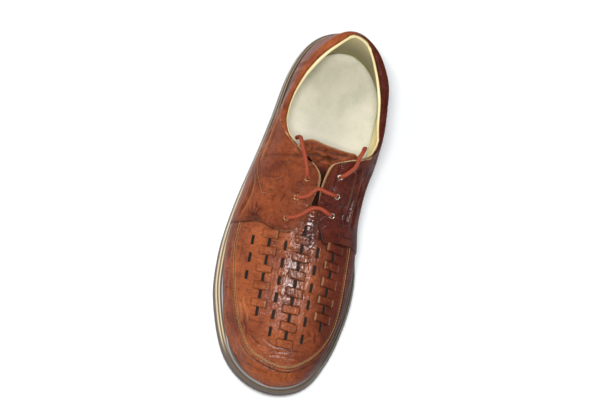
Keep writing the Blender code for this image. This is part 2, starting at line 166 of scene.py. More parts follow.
# Front edge of each quarter in plan, from the foot of the wall up to the throat
QUARTER_FRONT = {
    -1: ((-61.0, -24.0), (-56.0, -27.5), (-47.9, -28.0), (-40.9, -26.8), (-31.4, -29.0), (-21.7, -31.7),
         (-15.0, -31.6), (-10.8, -30.0), (-7.8, -27.4), (-6.0, -23.8), (-2.3, -13.5),
         (-0.3, -2.5), (1.6, 6.6)),
    1: ((47.0, -27.5), (43.0, -29.0), (38.0, -29.6), (30.4, -30.5), (20.1, -33.4), (15.4, -34.2),
        (13.4, -32.4), (12.0, -29.5), (9.8, -25.4), (7.2, -20.0), (5.4, -15.1), (4.0, -7.2), (2.8, 3.0)),
}

# Apron seam in plan, closed behind the quarters
APRON_SEAM = (
    (-51.6, -18.0), (-51.8, -31.0), (-51.4, -46.0), (-48.5, -62.0), (-44.6, -77.5), (-39.8, -93.0),
    (-31.6, -111.0), (-20.4, -125.0), (-7.0, -130.7), (10.0, -132.0), (23.5, -124.0), (31.7, -114.0),
    (38.0, -98.7), (40.3, -73.5), (38.6, -49.0), (37.0, -30.0), (35.5, -18.0),
)
APRON_CENTRE = (-5.0, -62.0)

# Middle of the crinkled leather where the throat bends
THROAT_BEND = (3.0, -24.0)

# Weave: slots on a slanted lattice, and the rows of slots that each column has
SLOT_HALF = (1.15, 3.6)
COLUMN_PITCH = 12.9
COLUMN_START = -0.2
COLUMN_LEAN = -0.058
ROW_PITCH = 13.35
ROW_START = -41.7
SLOT_ROWS = {-3: (0, 2), -2: (0, 4), -1: (-1, 5), 0: (-1, 5), 1: (-1, 5), 2: (0, 4)}
FRONT_LOOP_COLUMN = 0
STRIP_HALF = (6.2, 2.9)
STRIP_LIFTS = {-2: 0.12, 0: 0.38, 2: 0.36}
BRIDGE_LIFTS = {-3: 0.1, -1: 0.4, 1: 0.5}


def ease(span, at):
    """Smooth step from 0 at the span's start to 1 at its end."""
    share = np.clip((np.asarray(at, float) - span[0]) / (span[1] - span[0]), 0.0, 1.0)
    return share * share * (3.0 - 2.0 * share)


def bell(distance, width):
    """Gaussian bump of height 1."""
    return np.exp(-(distance / width) ** 2)


def spline(knots, values, at):
    """Natural cubic spline through the knots."""
    knots = np.asarray(knots, float)
    values = np.asarray(values, float)
    step = np.diff(knots)
    slope = np.diff(values) / step
    system = np.eye(len(knots))
    change = np.zeros(len(knots))
    for i in range(1, len(knots) - 1):
        system[i, i - 1:i + 2] = step[i - 1], 2.0 * (step[i - 1] + step[i]), step[i]
        change[i] = 6.0 * (slope[i] - slope[i - 1])
    bend = np.linalg.solve(system, change)
    k = np.clip(np.searchsorted(knots, at) - 1, 0, len(step) - 1)
    after = (at - knots[k]) / step[k]
    before = 1.0 - after
    curve = (before ** 3 - before) * bend[k] + (after ** 3 - after) * bend[k + 1]
    return before * values[k] + after * values[k + 1] + curve * step[k] ** 2 / 6.0


def smooth_route(points, count):
    """Even points on a cubic spline through a route, by distance along it."""
    points = np.asarray(points, float)
    travel = np.append(0.0, np.cumsum(np.linalg.norm(np.diff(points, axis=0), axis=1)))
    at = np.linspace(0.0, travel[-1], count)
    return np.stack([spline(travel, points[:, k], at) for k in range(points.shape[1])], axis=-1)


def column(rows, names, name):
    """One named column of a table."""
    return np.array([row[names.index(name)] for row in rows], float)


def station_angle(y, half_length):
    """Angle from the toe end, so that rounded ends are sampled evenly."""
    return np.arccos(np.clip(-np.asarray(y, float) / half_length, -1.0, 1.0))


def rounded(rows, names, name, y, half_length):
    """Read a column at y by a spline over the station angle."""
    knots = station_angle(column(rows, names, "y"), half_length)
    return spline(knots, column(rows, names, name), station_angle(y, half_length))


def toe_spring(y, amount):
    """Lift of the toe end, growing from the start of the spring to the tip."""
    reach = np.clip((SPRING_START - np.asarray(y, float)) / (SPRING_START + SOLE_HALF_LENGTH), 0.0, 1.0)
    return amount * reach ** SPRING_POWER


def sole_under(y):
    """Underside height: flat heel, raised arch, flat forefoot and toe spring."""
    arch = ARCH_RISE * (ease(ARCH_FRONT, y) - ease(ARCH_BACK, y))
    return arch + toe_spring(y, TOE_SPRING_UNDER)


def sole_top(y):
    """Top height, climbing from the ball to the heel, with the toe lifted."""
    return BALL_TOP + (HEEL_TOP - BALL_TOP) * ease(TOP_CLIMB, y) + toe_spring(y, TOE_SPRING_TOP)


def section(name, y):
    """One column of the upper's sections at y."""
    return rounded(UPPER_SECTIONS, UPPER_COLUMNS, name, y, UPPER_HALF_LENGTH)


def heel_lean(z):
    """Share of the rim's lean that a height has."""
    return np.clip((z - LEAN_HEIGHTS[0]) / (LEAN_HEIGHTS[1] - LEAN_HEIGHTS[0]), 0.0, None) ** LEAN_POWER


def wall_shape(y, lateral):
    """Half-width of the belly, signed by side, and squareness of the shoulder at y."""
    half = np.where(lateral, -section("lateral", y), section("medial", y))
    square = np.where(lateral, section("square_lateral", y), section("square_medial", y))
    return half, square


def upper_skin(y, u):
    """Outer skin: u runs from -1 (foot of the lateral wall) over 0 (crest) to 1 (foot of the medial wall).

    Each section is a superellipse arch, tucked in at its foot and leaning in towards the heel's rim.
    """
    y, u = np.broadcast_arrays(np.asarray(y, float), np.asarray(u, float))
    lateral = u < 0.0
    angle = (1.0 - np.abs(u)) * math.pi / 2.0
    half, square = wall_shape(y, lateral)
    tuck = np.where(lateral, -section("tuck_lateral", y), section("tuck_medial", y))
    cosine = np.clip(np.cos(angle), 0.0, 1.0)
    foot = sole_top(y) + GAP
    z = foot + section("rise", y) * np.sin(angle) ** (2.0 / CREST_SQUARENESS)
    x = RIDGE_X + (half - RIDGE_X) * cosine ** (2.0 / square)
    x = x - tuck * cosine * np.clip(1.0 - (z - foot) / TUCK_HEIGHT, 0.0, 1.0) ** 2
    lean = heel_lean(z)
    x = x + np.where(lateral, lean * section("lean_lateral", y), 0.0)
    return np.stack((x, y - HEEL_LEAN * lean * ease(HEEL_LEAN_SPAN, y), z), axis=-1)


def unit(vectors):
    """Vectors scaled to length 1."""
    return vectors / np.maximum(np.linalg.norm(vectors, axis=-1, keepdims=True), 1e-9)


# Steps along and across for the skin's normals, which keep clear of its ends and feet
NORMAL_STEPS = (0.5, 0.012)
NORMAL_END_GAP = 0.6
NORMAL_FOOT = 0.985


def upper_normal(y, u):
    """Outward normal of the skin, from differences along and across the shoe."""
    y, u = np.broadcast_arrays(np.asarray(y, float), np.asarray(u, float))
    y = np.clip(y, NORMAL_END_GAP - UPPER_HALF_LENGTH, UPPER_HALF_LENGTH - NORMAL_END_GAP)
    u = np.clip(u, -NORMAL_FOOT, NORMAL_FOOT)
    step_y, step_u = NORMAL_STEPS
    along = upper_skin(y + step_y, u) - upper_skin(y - step_y, u)
    across = upper_skin(y, u + step_u) - upper_skin(y, u - step_u)
    return unit(np.cross(across, along))


def over_upper(y, u, lift):
    """Points at a distance above the skin."""
    lift = np.asarray(lift, float)
    return upper_skin(y, u) + lift[..., None] * upper_normal(y, u)


def across_of(x, y):
    """The skin's u over a place in plan, on the vamp and instep: the arch's formula solved for its angle."""
    x, y = np.broadcast_arrays(np.asarray(x, float), np.asarray(y, float))
    lateral = x < RIDGE_X
    half, square = wall_shape(y, lateral)
    share = np.clip((x - RIDGE_X) / (half - RIDGE_X), 0.0, 1.0)
    angle = np.arccos(share ** (square / 2.0))
    return np.where(lateral, -1.0, 1.0) * (1.0 - angle / (math.pi / 2.0))


def over_plan(plan, lift):
    """Points at a distance above the skin, over places in plan."""
    plan = np.asarray(plan, float)
    x, y = plan[..., 0], plan[..., 1]
    return over_upper(y, across_of(x, y), np.broadcast_to(np.asarray(lift, float), x.shape))


# Where the walls' tops start, and the spacing of the places at which they are worked out
WALL_START = -60.0
WALL_STEP = 0.2


def wall_top(side):
    """Share of the arch that each wall reaches, on close places along the shoe: facing edge, then collar."""
    y = np.arange(WALL_START, UPPER_HALF_LENGTH + WALL_STEP, WALL_STEP)
    edges = FACING_EDGES[side]
    gap = np.interp(y, column(edges, FACING_COLUMNS, "y"), column(edges, FACING_COLUMNS, "gap"))
    half, square = wall_shape(y, np.full(len(y), side < 0))
    facing = np.arccos((gap / np.maximum(np.abs(half - RIDGE_X), gap + GAP)) ** (square / 2.0))
    rim = np.interp(y, column(COLLAR_RIM, COLLAR_COLUMNS, "y"), column(COLLAR_RIM, COLLAR_COLUMNS, side))
    height = rim - sole_top(y) - GAP
    collar = np.arcsin((height / np.maximum(section("rise", y), height)) ** (CREST_SQUARENESS / 2.0))
    share = ease(THROAT_TO_COLLAR[side], y)
    angle = (1.0 - share) * facing + share * collar
    window = np.hanning(int(EDGE_SMOOTHING / WALL_STEP) * 2 + 1)
    padded = np.pad(angle, len(window) // 2, mode="edge")
    return y, np.convolve(padded, window / window.sum(), mode="valid") / (math.pi / 2.0)


WALL_TOPS = {side: wall_top(side) for side in (-1, 1)}


def top_share(side, y):
    """Share of the arch at which a wall ends."""
    return np.interp(y, *WALL_TOPS[side])


def rim_place(side, y):
    """u of the wall's top edge."""
    return side * (1.0 - top_share(side, y))


def stations(first, last, count):
    """Places along the upper from first to last, closer together at its rounded ends."""
    turn = np.linspace(*station_angle((first, last), UPPER_HALF_LENGTH), count)
    return -UPPER_HALF_LENGTH * np.cos(turn)


def skin_grid(last, rows, columns):
    """Grid over the vamp from the toe's tip to a last place, wall to wall: y and u."""
    spread = np.linspace(-1.0, 1.0, columns)
    u = np.sign(spread) * np.abs(spread) ** EVEN_SPREAD
    y = stations(-UPPER_HALF_LENGTH, last, rows)
    return np.repeat(y[:, None], columns, axis=1), np.repeat(u[None, :], rows, axis=0)


def sole_ring(y, inset):
    """Sole outline drawn in by an inset: lateral and medial half-widths and y."""
    shrink = 1.0 - inset / RING_REFERENCE_WIDTH
    lateral = -rounded(SOLE_OUTLINE, SOLE_COLUMNS, "lateral", y, SOLE_HALF_LENGTH) * shrink
    medial = rounded(SOLE_OUTLINE, SOLE_COLUMNS, "medial", y, SOLE_HALF_LENGTH) * shrink
    return lateral, medial, y * (1.0 - inset / SOLE_HALF_LENGTH)


OUTLINE_Y = -SOLE_HALF_LENGTH * np.cos(np.linspace(0.0, math.pi, 47))
SHIFT_X = -(sole_ring(OUTLINE_Y, 0.0)[0].min() + sole_ring(OUTLINE_Y, 0.0)[1].max()) / 2.0


def to_world(points):
    """Shoe millimetres to metres in the part's frame."""
    return (np.asarray(points, float) + (SHIFT_X, 0.0, 0.0)) * MM


def nearest(points, route):
    """Distance from each point to a route of close points, and the share of the route where it is nearest."""
    flat = points.reshape(-1, 3)
    best = np.full(len(flat), 1e9)
    share = np.zeros(len(flat))
    for i in range(len(route) - 1):
        start, step = route[i], route[i + 1] - route[i]
        at = np.clip((flat - start) @ step / (step @ step), 0.0, 1.0)
        far = np.linalg.norm(flat - start - at[:, None] * step, axis=1)
        closer = far < best
        best = np.where(closer, far, best)
        share = np.where(closer, (i + at) / (len(route) - 1), share)
    return best.reshape(points.shape[:-1]), share.reshape(points.shape[:-1])


def polyline(table, count):
    """Close points on a table's straight runs, as many on each run."""
    table = np.array(table)
    at = np.linspace(0, len(table) - 1, count)
    return np.stack([np.interp(at, np.arange(len(table)), table[:, k]) for k in range(2)], axis=-1)


# Wave lengths of a slow relief, as shares of its size
SWELL_SIZES = (0.7, 1.5)


def swell(points, size, count, seed):
    """Slow uneven relief between about -1 and 1: a sum of sine waves in random directions."""
    draw = np.random.default_rng(seed)
    total = np.zeros(points.shape[:-1])
    for _ in range(count):
        way = unit(draw.normal(size=3)) * 2.0 * math.pi / (size * draw.uniform(*SWELL_SIZES))
        total += np.sin(points @ way + draw.uniform(0.0, 2.0 * math.pi))
    return total / math.sqrt(count)


# Gloss of the leather in plan: rubbed spots as middle, half-widths and weight, then bands
GLOSS_BASE = 0.03
GLOSS_SPOTS = (
    ((-1.0, -60.0), (8.0, 22.0), 0.95),
    ((1.0, -56.0), (20.0, 40.0), 0.18),
    ((4.0, -25.0), (8.0, 13.0), 0.85),
)
FACING_GLOSS = 0.4
FACING_GLOSS_X = ((8.0, 14.0), (36.0, 28.0))
FACING_GLOSS_Y = (2.0, 30.0)
TOE_GLOSS = 0.15
TOE_GLOSS_Y = (-130.0, 8.0)


def spot(x, y, middle, half):
    """Bell in plan, of height 1."""
    return bell(x - middle[0], half[0]) * bell(y - middle[1], half[1])


def polish_at(points):
    """Gloss by place: bright spots on crest and throat, a band on the medial facing and one at the toe."""
    x, y = points[..., 0], points[..., 1]
    gloss = GLOSS_BASE + sum(weight * spot(x, y, middle, half) for middle, half, weight in GLOSS_SPOTS)
    inner, outer = FACING_GLOSS_X
    gloss += FACING_GLOSS * ease(inner, x) * ease(outer, x) * bell(y - FACING_GLOSS_Y[0], FACING_GLOSS_Y[1])
    return np.clip(gloss + TOE_GLOSS * bell(y - TOE_GLOSS_Y[0], TOE_GLOSS_Y[1]), 0.0, 1.0)


# Dark medial tone of the vamp, partly real dye and partly painted shade: across towards the medial wall, in
# the throat, and before the medial quarter
WALL_DYE = 0.95
WALL_DYE_X = (4.0, 40.0)
THROAT_DYE = 0.85
THROAT_DYE_SPOT = ((THROAT_BEND[0] + 2.0, THROAT_BEND[1]), (11.0, 12.0))
CORNER_DYE = 0.6
CORNER_DYE_X = (12.0, 28.0)
CORNER_DYE_Y = (-32.0, 20.0)


def vamp_dye(points):
    """Depth of the dark medial tone on the vamp, partly real dye and partly painted shade: towards the medial
    wall, its quarter and the throat.
    """
    x, y = points[..., 0], points[..., 1]
    dye = WALL_DYE * ease(WALL_DYE_X, x) + THROAT_DYE * spot(x, y, *THROAT_DYE_SPOT)
    dye += CORNER_DYE * ease(CORNER_DYE_X, x) * bell(y - CORNER_DYE_Y[0], CORNER_DYE_Y[1])
    return np.clip(dye, 0.0, 1.0)


def grid_quads(rows, columns, wrap=False):
    """Corner numbers of the quads of a grid, the columns joined round when wrapped."""
    i, j = np.meshgrid(np.arange(rows - 1), np.arange(columns if wrap else columns - 1), indexing="ij")
    after = (j + 1) % columns
    near, far = i * columns, (i + 1) * columns
    return np.stack((near + j, near + after, far + after, far + j), axis=-1).reshape(-1, 4)


def leather_piece(name, points, quads, materials, values=None, merge=0.0):
    """Mesh object from points in shoe millimetres, with point values for its materials."""
    mesh = bpy.data.meshes.new(name)
    mesh.from_pydata(to_world(points.reshape(-1, 3)), [], quads.tolist())
    values = {"polish": polish_at(points), **(values or {})}
    for key, value in values.items():
        layer = mesh.attributes.new(key, "FLOAT", "POINT")
        layer.data.foreach_set("value", np.asarray(value, np.float32).ravel())
    if merge:
        work = bmesh.new()
        work.from_mesh(mesh)
        bmesh.ops.remove_doubles(work, verts=work.verts, dist=merge * MM)
        loose = [v for v in work.verts if not v.link_faces]
        bmesh.ops.delete(work, geom=loose, context="VERTS")
        work.to_mesh(mesh)
        work.free()
    mesh.shade_smooth()
    for material in materials:
        mesh.materials.append(material)
    item = bpy.data.objects.new(name, mesh)
    bpy.context.scene.collection.objects.link(item)
    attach(item, "root")
    return item


def thicken(item, thickness, rim_material=0):
    """Wall of a set thickness inside the surface, with its cut edge in another material."""
    wall = item.modifiers.new("wall", "SOLIDIFY")
    wall.thickness = thickness * MM
    wall.offset = -1.0
    wall.use_even_offset = False
    wall.material_offset_rim = rim_material
    return item


def linear(text):
    """sRGB hex to linear RGBA."""
    value = np.array([int(text[i:i + 2], 16) for i in (1, 3, 5)]) / 255.0
    light = np.where(value <= 0.04045, value / 12.92, ((value + 0.055) / 1.055) ** 2.4)
    return (*light.tolist(), 1.0)


def add(tree, kind, settings=None, links=None, ramp=None):
    """Node of a kind, with its settings, its links and the stops of its ramp."""
    made = tree.nodes.new(kind)
    for key, value in (settings or {}).items():
        if isinstance(key, str) and hasattr(made, key):
            setattr(made, key, value)
        else:
            made.inputs[key].default_value = value
    for key, source in (links or {}).items():
        tree.links.new(source, made.inputs[key])
    if ramp:
        stops = made.color_ramp.elements
        for _ in range(len(ramp) - 2):
            stops.new(0.5)
        for stop, (place, colour) in zip(stops, ramp):
            stop.position = place
            stop.color = colour
    return made


def start_material(name):
    """Empty node material with its Principled shader and Object coordinates in millimetres."""
    material = bpy.data.materials.new(name)
    material.use_nodes = True
    tree = material.node_tree
    shader = tree.nodes["Principled BSDF"]
    place = add(tree, "ShaderNodeTexCoord")
    scale = add(tree, "ShaderNodeMapping", {"Scale": (1 / MM, 1 / MM, 1 / MM)},
                {"Vector": place.outputs["Object"]})
    return material, tree, shader, scale.outputs["Vector"]


# Shades that flecks and wrinkles multiply the dye by, from valley to ridge; for the wrinkles they are painted
# shade in the valleys and painted highlight on the ridges
PLAIN = (1.0, 1.0, 1.0, 1.0)
FLECK_SHADES = ((0.33, (0.62, 0.57, 0.53, 1.0)), (0.5, PLAIN), (0.67, (1.2, 1.17, 1.1, 1.0)))
VALLEY_SHADES = ((0.36, (0.5, 0.44, 0.4, 1.0)), (0.5, PLAIN), (0.66, (1.14, 1.12, 1.08, 1.0)))

# Reliefs of the leather as strength and depth in metres, for the hide and for the glaze over it
HIDE_RELIEF = {"line": (-0.6, 0.0008), "wrinkle": (0.8, 0.0013), "hills": (0.7, 0.0022),
               "pores": (0.3, 0.00025)}
GLAZE_RELIEF = {"line": (-0.5, 0.0006), "wrinkle": (0.36, 0.0009), "hills": (0.26, 0.0014)}


def glazed_leather(name, lateral, medial):
    """Aniline-dyed calf with a glazed finish: uneven red-brown dye, deeper on the medial side.

    The eye gets fine wrinkles drawn two ways in patches, broken fold lines and dark troughs that are painted
    shade, pale scuffed edges, painted highlight on ridges and puckers, and where it is polished a bluish tint
    that paints the lamp's cool glints. Its deeper medial tone is partly real dye and partly painted shade.
    """
    material, tree, shader, mm = start_material(name)
    cloud = add(tree, "ShaderNodeTexNoise", {"Scale": 1 / 19.0, "Detail": 6.0, "Roughness": 0.64},
                {"Vector": mm})
    tones = [add(tree, "ShaderNodeValToRGB", links={"Fac": cloud.outputs["Fac"]},
                 ramp=tuple(zip((0.3, 0.5, 0.7), map(linear, colours)))) for colours in (lateral, medial)]
    # Deeper medial tone: partly real dye and partly painted shade on the shaded medial side
    side = add(tree, "ShaderNodeAttribute", {"attribute_name": "medial"})
    tone = add(tree, "ShaderNodeMix", {"data_type": "RGBA"},
               {0: side.outputs["Fac"], 6: tones[0].outputs["Color"], 7: tones[1].outputs["Color"]})
    fleck = add(tree, "ShaderNodeTexNoise", {"Scale": 1 / 2.0, "Detail": 5.0, "Roughness": 0.74},
                {"Vector": mm})
    speck = add(tree, "ShaderNodeValToRGB", links={"Fac": fleck.outputs["Fac"]}, ramp=FLECK_SHADES)
    flecked = add(tree, "ShaderNodeMix", {"data_type": "RGBA", "blend_type": "MULTIPLY", 0: 0.4},
                  {6: tone.outputs[2], 7: speck.outputs["Color"]})
    ways = ((1 / 1.7, 1 / 6.0, 1 / 2.4), (1 / 6.5, 1 / 1.8, 1 / 4.0))
    drawn = [add(tree, "ShaderNodeVectorMath", {"operation": "MULTIPLY", 1: way}, {0: mm}) for way in ways]
    wrinkles = [add(tree, "ShaderNodeTexNoise",
                    {"Scale": 1.0, "Detail": 3.0, "Roughness": 0.55, "Distortion": 0.7},
                    {"Vector": way.outputs["Vector"]}) for way in drawn]
    patch = add(tree, "ShaderNodeTexNoise", {"Scale": 1 / 16.0, "Detail": 3.0}, {"Vector": mm})
    turned = add(tree, "ShaderNodeMapRange",
                 {"interpolation_type": "SMOOTHSTEP", "From Min": 0.44, "From Max": 0.6},
                 {"Value": patch.outputs["Fac"]})
    wrinkle = add(tree, "ShaderNodeMix", {"data_type": "FLOAT"},
                  {0: turned.outputs["Result"], 2: wrinkles[0].outputs["Fac"], 3: wrinkles[1].outputs["Fac"]})
    # Painted shade in the wrinkles' valleys and painted highlight on their ridges
    valley = add(tree, "ShaderNodeValToRGB", links={"Fac": wrinkle.outputs[0]}, ramp=VALLEY_SHADES)
    dyed = add(tree, "ShaderNodeMix", {"data_type": "RGBA", "blend_type": "MULTIPLY", 0: 0.55},
               {6: flecked.outputs[2], 7: valley.outputs["Color"]})
    warp = add(tree, "ShaderNodeTexNoise", {"Scale": 1 / 7.0, "Detail": 4.0}, {"Vector": mm})
    bent = add(tree, "ShaderNodeVectorMath", {"operation": "MULTIPLY_ADD", 1: (11.0, 11.0, 11.0)},
               {0: warp.outputs["Color"], 2: mm})
    cell = add(tree, "ShaderNodeTexVoronoi", {"feature": "DISTANCE_TO_EDGE", "Scale": 1 / 16.0},
               {"Vector": bent.outputs["Vector"]})
    near = add(tree, "ShaderNodeMapRange",
               {"interpolation_type": "SMOOTHSTEP", "From Min": 0.0, "From Max": 0.06,
                "To Min": 1.0, "To Max": 0.0},
               {"Value": cell.outputs["Distance"]})
    kept = add(tree, "ShaderNodeMapRange",
               {"interpolation_type": "SMOOTHSTEP", "From Min": 0.5, "From Max": 0.7},
               {"Value": warp.outputs["Fac"]})
    line = add(tree, "ShaderNodeMath", {"operation": "MULTIPLY"},
               {0: near.outputs["Result"], 1: kept.outputs["Result"]})
    # Dark broken fold lines, plus the attribute's seam lines and painted shade in troughs, gaps, under edges
    # and on shaded walls
    seams_and_painted_shade = add(tree, "ShaderNodeAttribute", {"attribute_name": "seams_and_painted_shade"})
    dark_lines_and_painted_shade = add(tree, "ShaderNodeMath", {"operation": "MULTIPLY_ADD", 1: 0.35, "use_clamp": True},
               {0: line.outputs["Value"], 2: seams_and_painted_shade.outputs["Fac"]})
    dark = add(tree, "ShaderNodeMix", {"data_type": "RGBA", 7: linear("#210b07")},
               {0: dark_lines_and_painted_shade.outputs["Value"], 6: dyed.outputs[2]})
    # Pale tan from the edge attribute: real on cut edges and beside the apron seam, painted highlight on
    # ridge and pucker tops
    edge = add(tree, "ShaderNodeAttribute", {"attribute_name": "edge"})
    worn = add(tree, "ShaderNodeMix", {"data_type": "RGBA", 7: linear("#d0a878")},
               {0: edge.outputs["Fac"], 6: dark.outputs[2]})
    tree.links.new(worn.outputs[2], shader.inputs["Base Color"])
    pores = add(tree, "ShaderNodeTexVoronoi", {"Scale": 1 / 0.9}, {"Vector": mm})
    hills = add(tree, "ShaderNodeTexNoise",
                {"Scale": 1 / 5.0, "Detail": 5.0, "Roughness": 0.6, "Distortion": 0.6}, {"Vector": mm})
    heights = {"line": line.outputs["Value"], "wrinkle": wrinkle.outputs[0], "hills": hills.outputs["Fac"],
               "pores": pores.outputs["Distance"]}
    for socket, layers in (("Normal", HIDE_RELIEF), ("Coat Normal", GLAZE_RELIEF)):
        normal = None
        for layer, (strength, distance) in layers.items():
            bump = add(tree, "ShaderNodeBump", {"invert": strength < 0.0, "Strength": abs(strength),
                                                "Distance": distance}, {"Height": heights[layer]})
            if normal:
                tree.links.new(normal, bump.inputs["Normal"])
            normal = bump.outputs["Normal"]
        tree.links.new(normal, shader.inputs[socket])
    gloss = add(tree, "ShaderNodeMapRange", {"To Min": 0.34, "To Max": 0.56}, {"Value": fleck.outputs["Fac"]})
    tree.links.new(gloss.outputs["Result"], shader.inputs["Roughness"])
    polish = add(tree, "ShaderNodeAttribute", {"attribute_name": "polish"})
    tree.links.new(polish.outputs["Fac"], shader.inputs["Coat Weight"])
    sheen = add(tree, "ShaderNodeMapRange", {"To Min": 0.2, "To Max": 0.04}, {"Value": side.outputs["Fac"]})
    tree.links.new(sheen.outputs["Result"], shader.inputs["Specular IOR Level"])
    shader.inputs["Coat Roughness"].default_value = 0.07
    # Bluish coat tint: painted reflection, a cool cast where polished that stands in for the lamp's bluish
    # glints
    shader.inputs["Coat Tint"].default_value = linear("#c2d6ff")
    return material


def lining_leather(name, deep, mid, light, roughness):
    """Undyed pigskin lining, matt: cream, scuffed a little darker in patches, with fine pores, and olive
    painted shade from an attribute.
    """
    material, tree, shader, mm = start_material(name)
    patch = add(tree, "ShaderNodeTexNoise", {"Scale": 1 / 34.0, "Detail": 5.0, "Roughness": 0.6},
                {"Vector": mm})
    tone = add(tree, "ShaderNodeValToRGB", links={"Fac": patch.outputs["Fac"]},
               ramp=((0.3, linear(deep)), (0.5, linear(mid)), (0.7, linear(light))))
    grain = add(tree, "ShaderNodeTexNoise", {"Scale": 1 / 1.3, "Detail": 4.0, "Roughness": 0.7},
                {"Vector": mm})
    speck = add(tree, "ShaderNodeValToRGB", links={"Fac": grain.outputs["Fac"]},
                ramp=((0.3, (0.86, 0.86, 0.84, 1.0)), (0.7, (1.04, 1.04, 1.03, 1.0))))
    mixed = add(tree, "ShaderNodeMix", {"data_type": "RGBA", "blend_type": "MULTIPLY", 0: 0.6},
                {6: tone.outputs["Color"], 7: speck.outputs["Color"]})
    # Painted shade: olive mixed in where the attribute marks the shade low in the heel and at the sock's edge
    painted_light = add(tree, "ShaderNodeAttribute", {"attribute_name": "seams_and_painted_shade"})
    dark = add(tree, "ShaderNodeMix", {"data_type": "RGBA", 7: linear("#73680f")},
               {0: painted_light.outputs["Fac"], 6: mixed.outputs[2]})
    tree.links.new(dark.outputs[2], shader.inputs["Base Color"])
    bump = add(tree, "ShaderNodeBump", {"Strength": 0.35, "Distance": 0.0003},
               {"Height": grain.outputs["Fac"]})
    tree.links.new(bump.outputs["Normal"], shader.inputs["Normal"])
    shader.inputs["Roughness"].default_value = roughness
    shader.inputs["Sheen Weight"].default_value = 0.15
    return material


def cut_leather(name, pale, dark):
    """Raw cut edge of leather: pale tan fibre with darker dye seeped in, darkened further by seam lines and
    painted shade from an attribute.
    """
    material, tree, shader, mm = start_material(name)
    fibre = add(tree, "ShaderNodeTexNoise", {"Scale": 1 / 0.9, "Detail": 3.0}, {"Vector": mm})
    tone = add(tree, "ShaderNodeValToRGB", links={"Fac": fibre.outputs["Fac"]},
               ramp=((0.35, linear(dark)), (0.65, linear(pale))))
    # Seam lines and painted shade from the attribute darken the cut edge
    seams_and_painted_shade = add(tree, "ShaderNodeAttribute", {"attribute_name": "seams_and_painted_shade"})
    fibre_with_painted_shade = add(tree, "ShaderNodeMix", {"data_type": "RGBA", 7: linear("#2a0f08")},
                 {0: seams_and_painted_shade.outputs["Fac"], 6: tone.outputs["Color"]})
    tree.links.new(fibre_with_painted_shade.outputs[2], shader.inputs["Base Color"])
    bump = add(tree, "ShaderNodeBump", {"Strength": 0.4, "Distance": 0.0002},
               {"Height": fibre.outputs["Fac"]})
    tree.links.new(bump.outputs["Normal"], shader.inputs["Normal"])
    shader.inputs["Roughness"].default_value = 0.75
    return material


def moulded_rubber(name, deep, mid, light):
    """Moulded thermoplastic rubber: satin taupe, cloudy, a little dusty, with a fine mould texture, painted
    shade in its hollows and painted highlights on rib crowns and lip.
    """
    material, tree, shader, mm = start_material(name)
    cloud = add(tree, "ShaderNodeTexNoise", {"Scale": 1 / 18.0, "Detail": 5.0, "Roughness": 0.6},
                {"Vector": mm})
    tone = add(tree, "ShaderNodeValToRGB", links={"Fac": cloud.outputs["Fac"]},
               ramp=((0.3, linear(deep)), (0.5, linear(mid)), (0.72, linear(light))))
    # Painted shade: grooves, welt, tread cuts and the shaded medial side darkened from the attribute
    seams_and_painted_shade = add(tree, "ShaderNodeAttribute", {"attribute_name": "seams_and_painted_shade"})
    dark = add(tree, "ShaderNodeMix", {"data_type": "RGBA", 7: linear("#140d09")},
               {0: seams_and_painted_shade.outputs["Fac"], 6: tone.outputs["Color"]})
    # Painted highlight: pale tan on the rib crowns from the edge attribute
    edge = add(tree, "ShaderNodeAttribute", {"attribute_name": "edge"})
    worn = add(tree, "ShaderNodeMix", {"data_type": "RGBA", 7: linear("#dcc6a2")},
               {0: edge.outputs["Fac"], 6: dark.outputs[2]})
    # Painted highlight: bluish white on the lip from the polish attribute, which also sets the coat
    polish = add(tree, "ShaderNodeAttribute", {"attribute_name": "polish"})
    painted_light = add(tree, "ShaderNodeMix", {"data_type": "RGBA", 7: linear("#c9d2dc")},
                 {0: polish.outputs["Fac"], 6: worn.outputs[2]})
    tree.links.new(painted_light.outputs[2], shader.inputs["Base Color"])
    grit = add(tree, "ShaderNodeTexNoise", {"Scale": 1 / 0.8, "Detail": 3.0}, {"Vector": mm})
    bump = add(tree, "ShaderNodeBump", {"Strength": 0.25, "Distance": 0.0002},
               {"Height": grit.outputs["Fac"]})
    tree.links.new(bump.outputs["Normal"], shader.inputs["Normal"])
    gloss = add(tree, "ShaderNodeMapRange", {"To Min": 0.34, "To Max": 0.58}, {"Value": cloud.outputs["Fac"]})
    tree.links.new(gloss.outputs["Result"], shader.inputs["Roughness"])
    tree.links.new(polish.outputs["Fac"], shader.inputs["Coat Weight"])
    shader.inputs["Coat Roughness"].default_value = 0.25
    return material


def nickel_plate(name, dull, bright):
    """Nickel-plated brass, rolled: bright, faintly scratched and yellowed."""
    material, tree, shader, mm = start_material(name)
    haze = add(tree, "ShaderNodeTexNoise", {"Scale": 1 / 1.5, "Detail": 3.0}, {"Vector": mm})
    tone = add(tree, "ShaderNodeValToRGB", links={"Fac": haze.outputs["Fac"]},
               ramp=((0.3, linear(dull)), (0.7, linear(bright))))
    tree.links.new(tone.outputs["Color"], shader.inputs["Base Color"])
    gloss = add(tree, "ShaderNodeMapRange", {"To Min": 0.18, "To Max": 0.36}, {"Value": haze.outputs["Fac"]})
    tree.links.new(gloss.outputs["Result"], shader.inputs["Roughness"])
    shader.inputs["Metallic"].default_value = 1.0
    return material


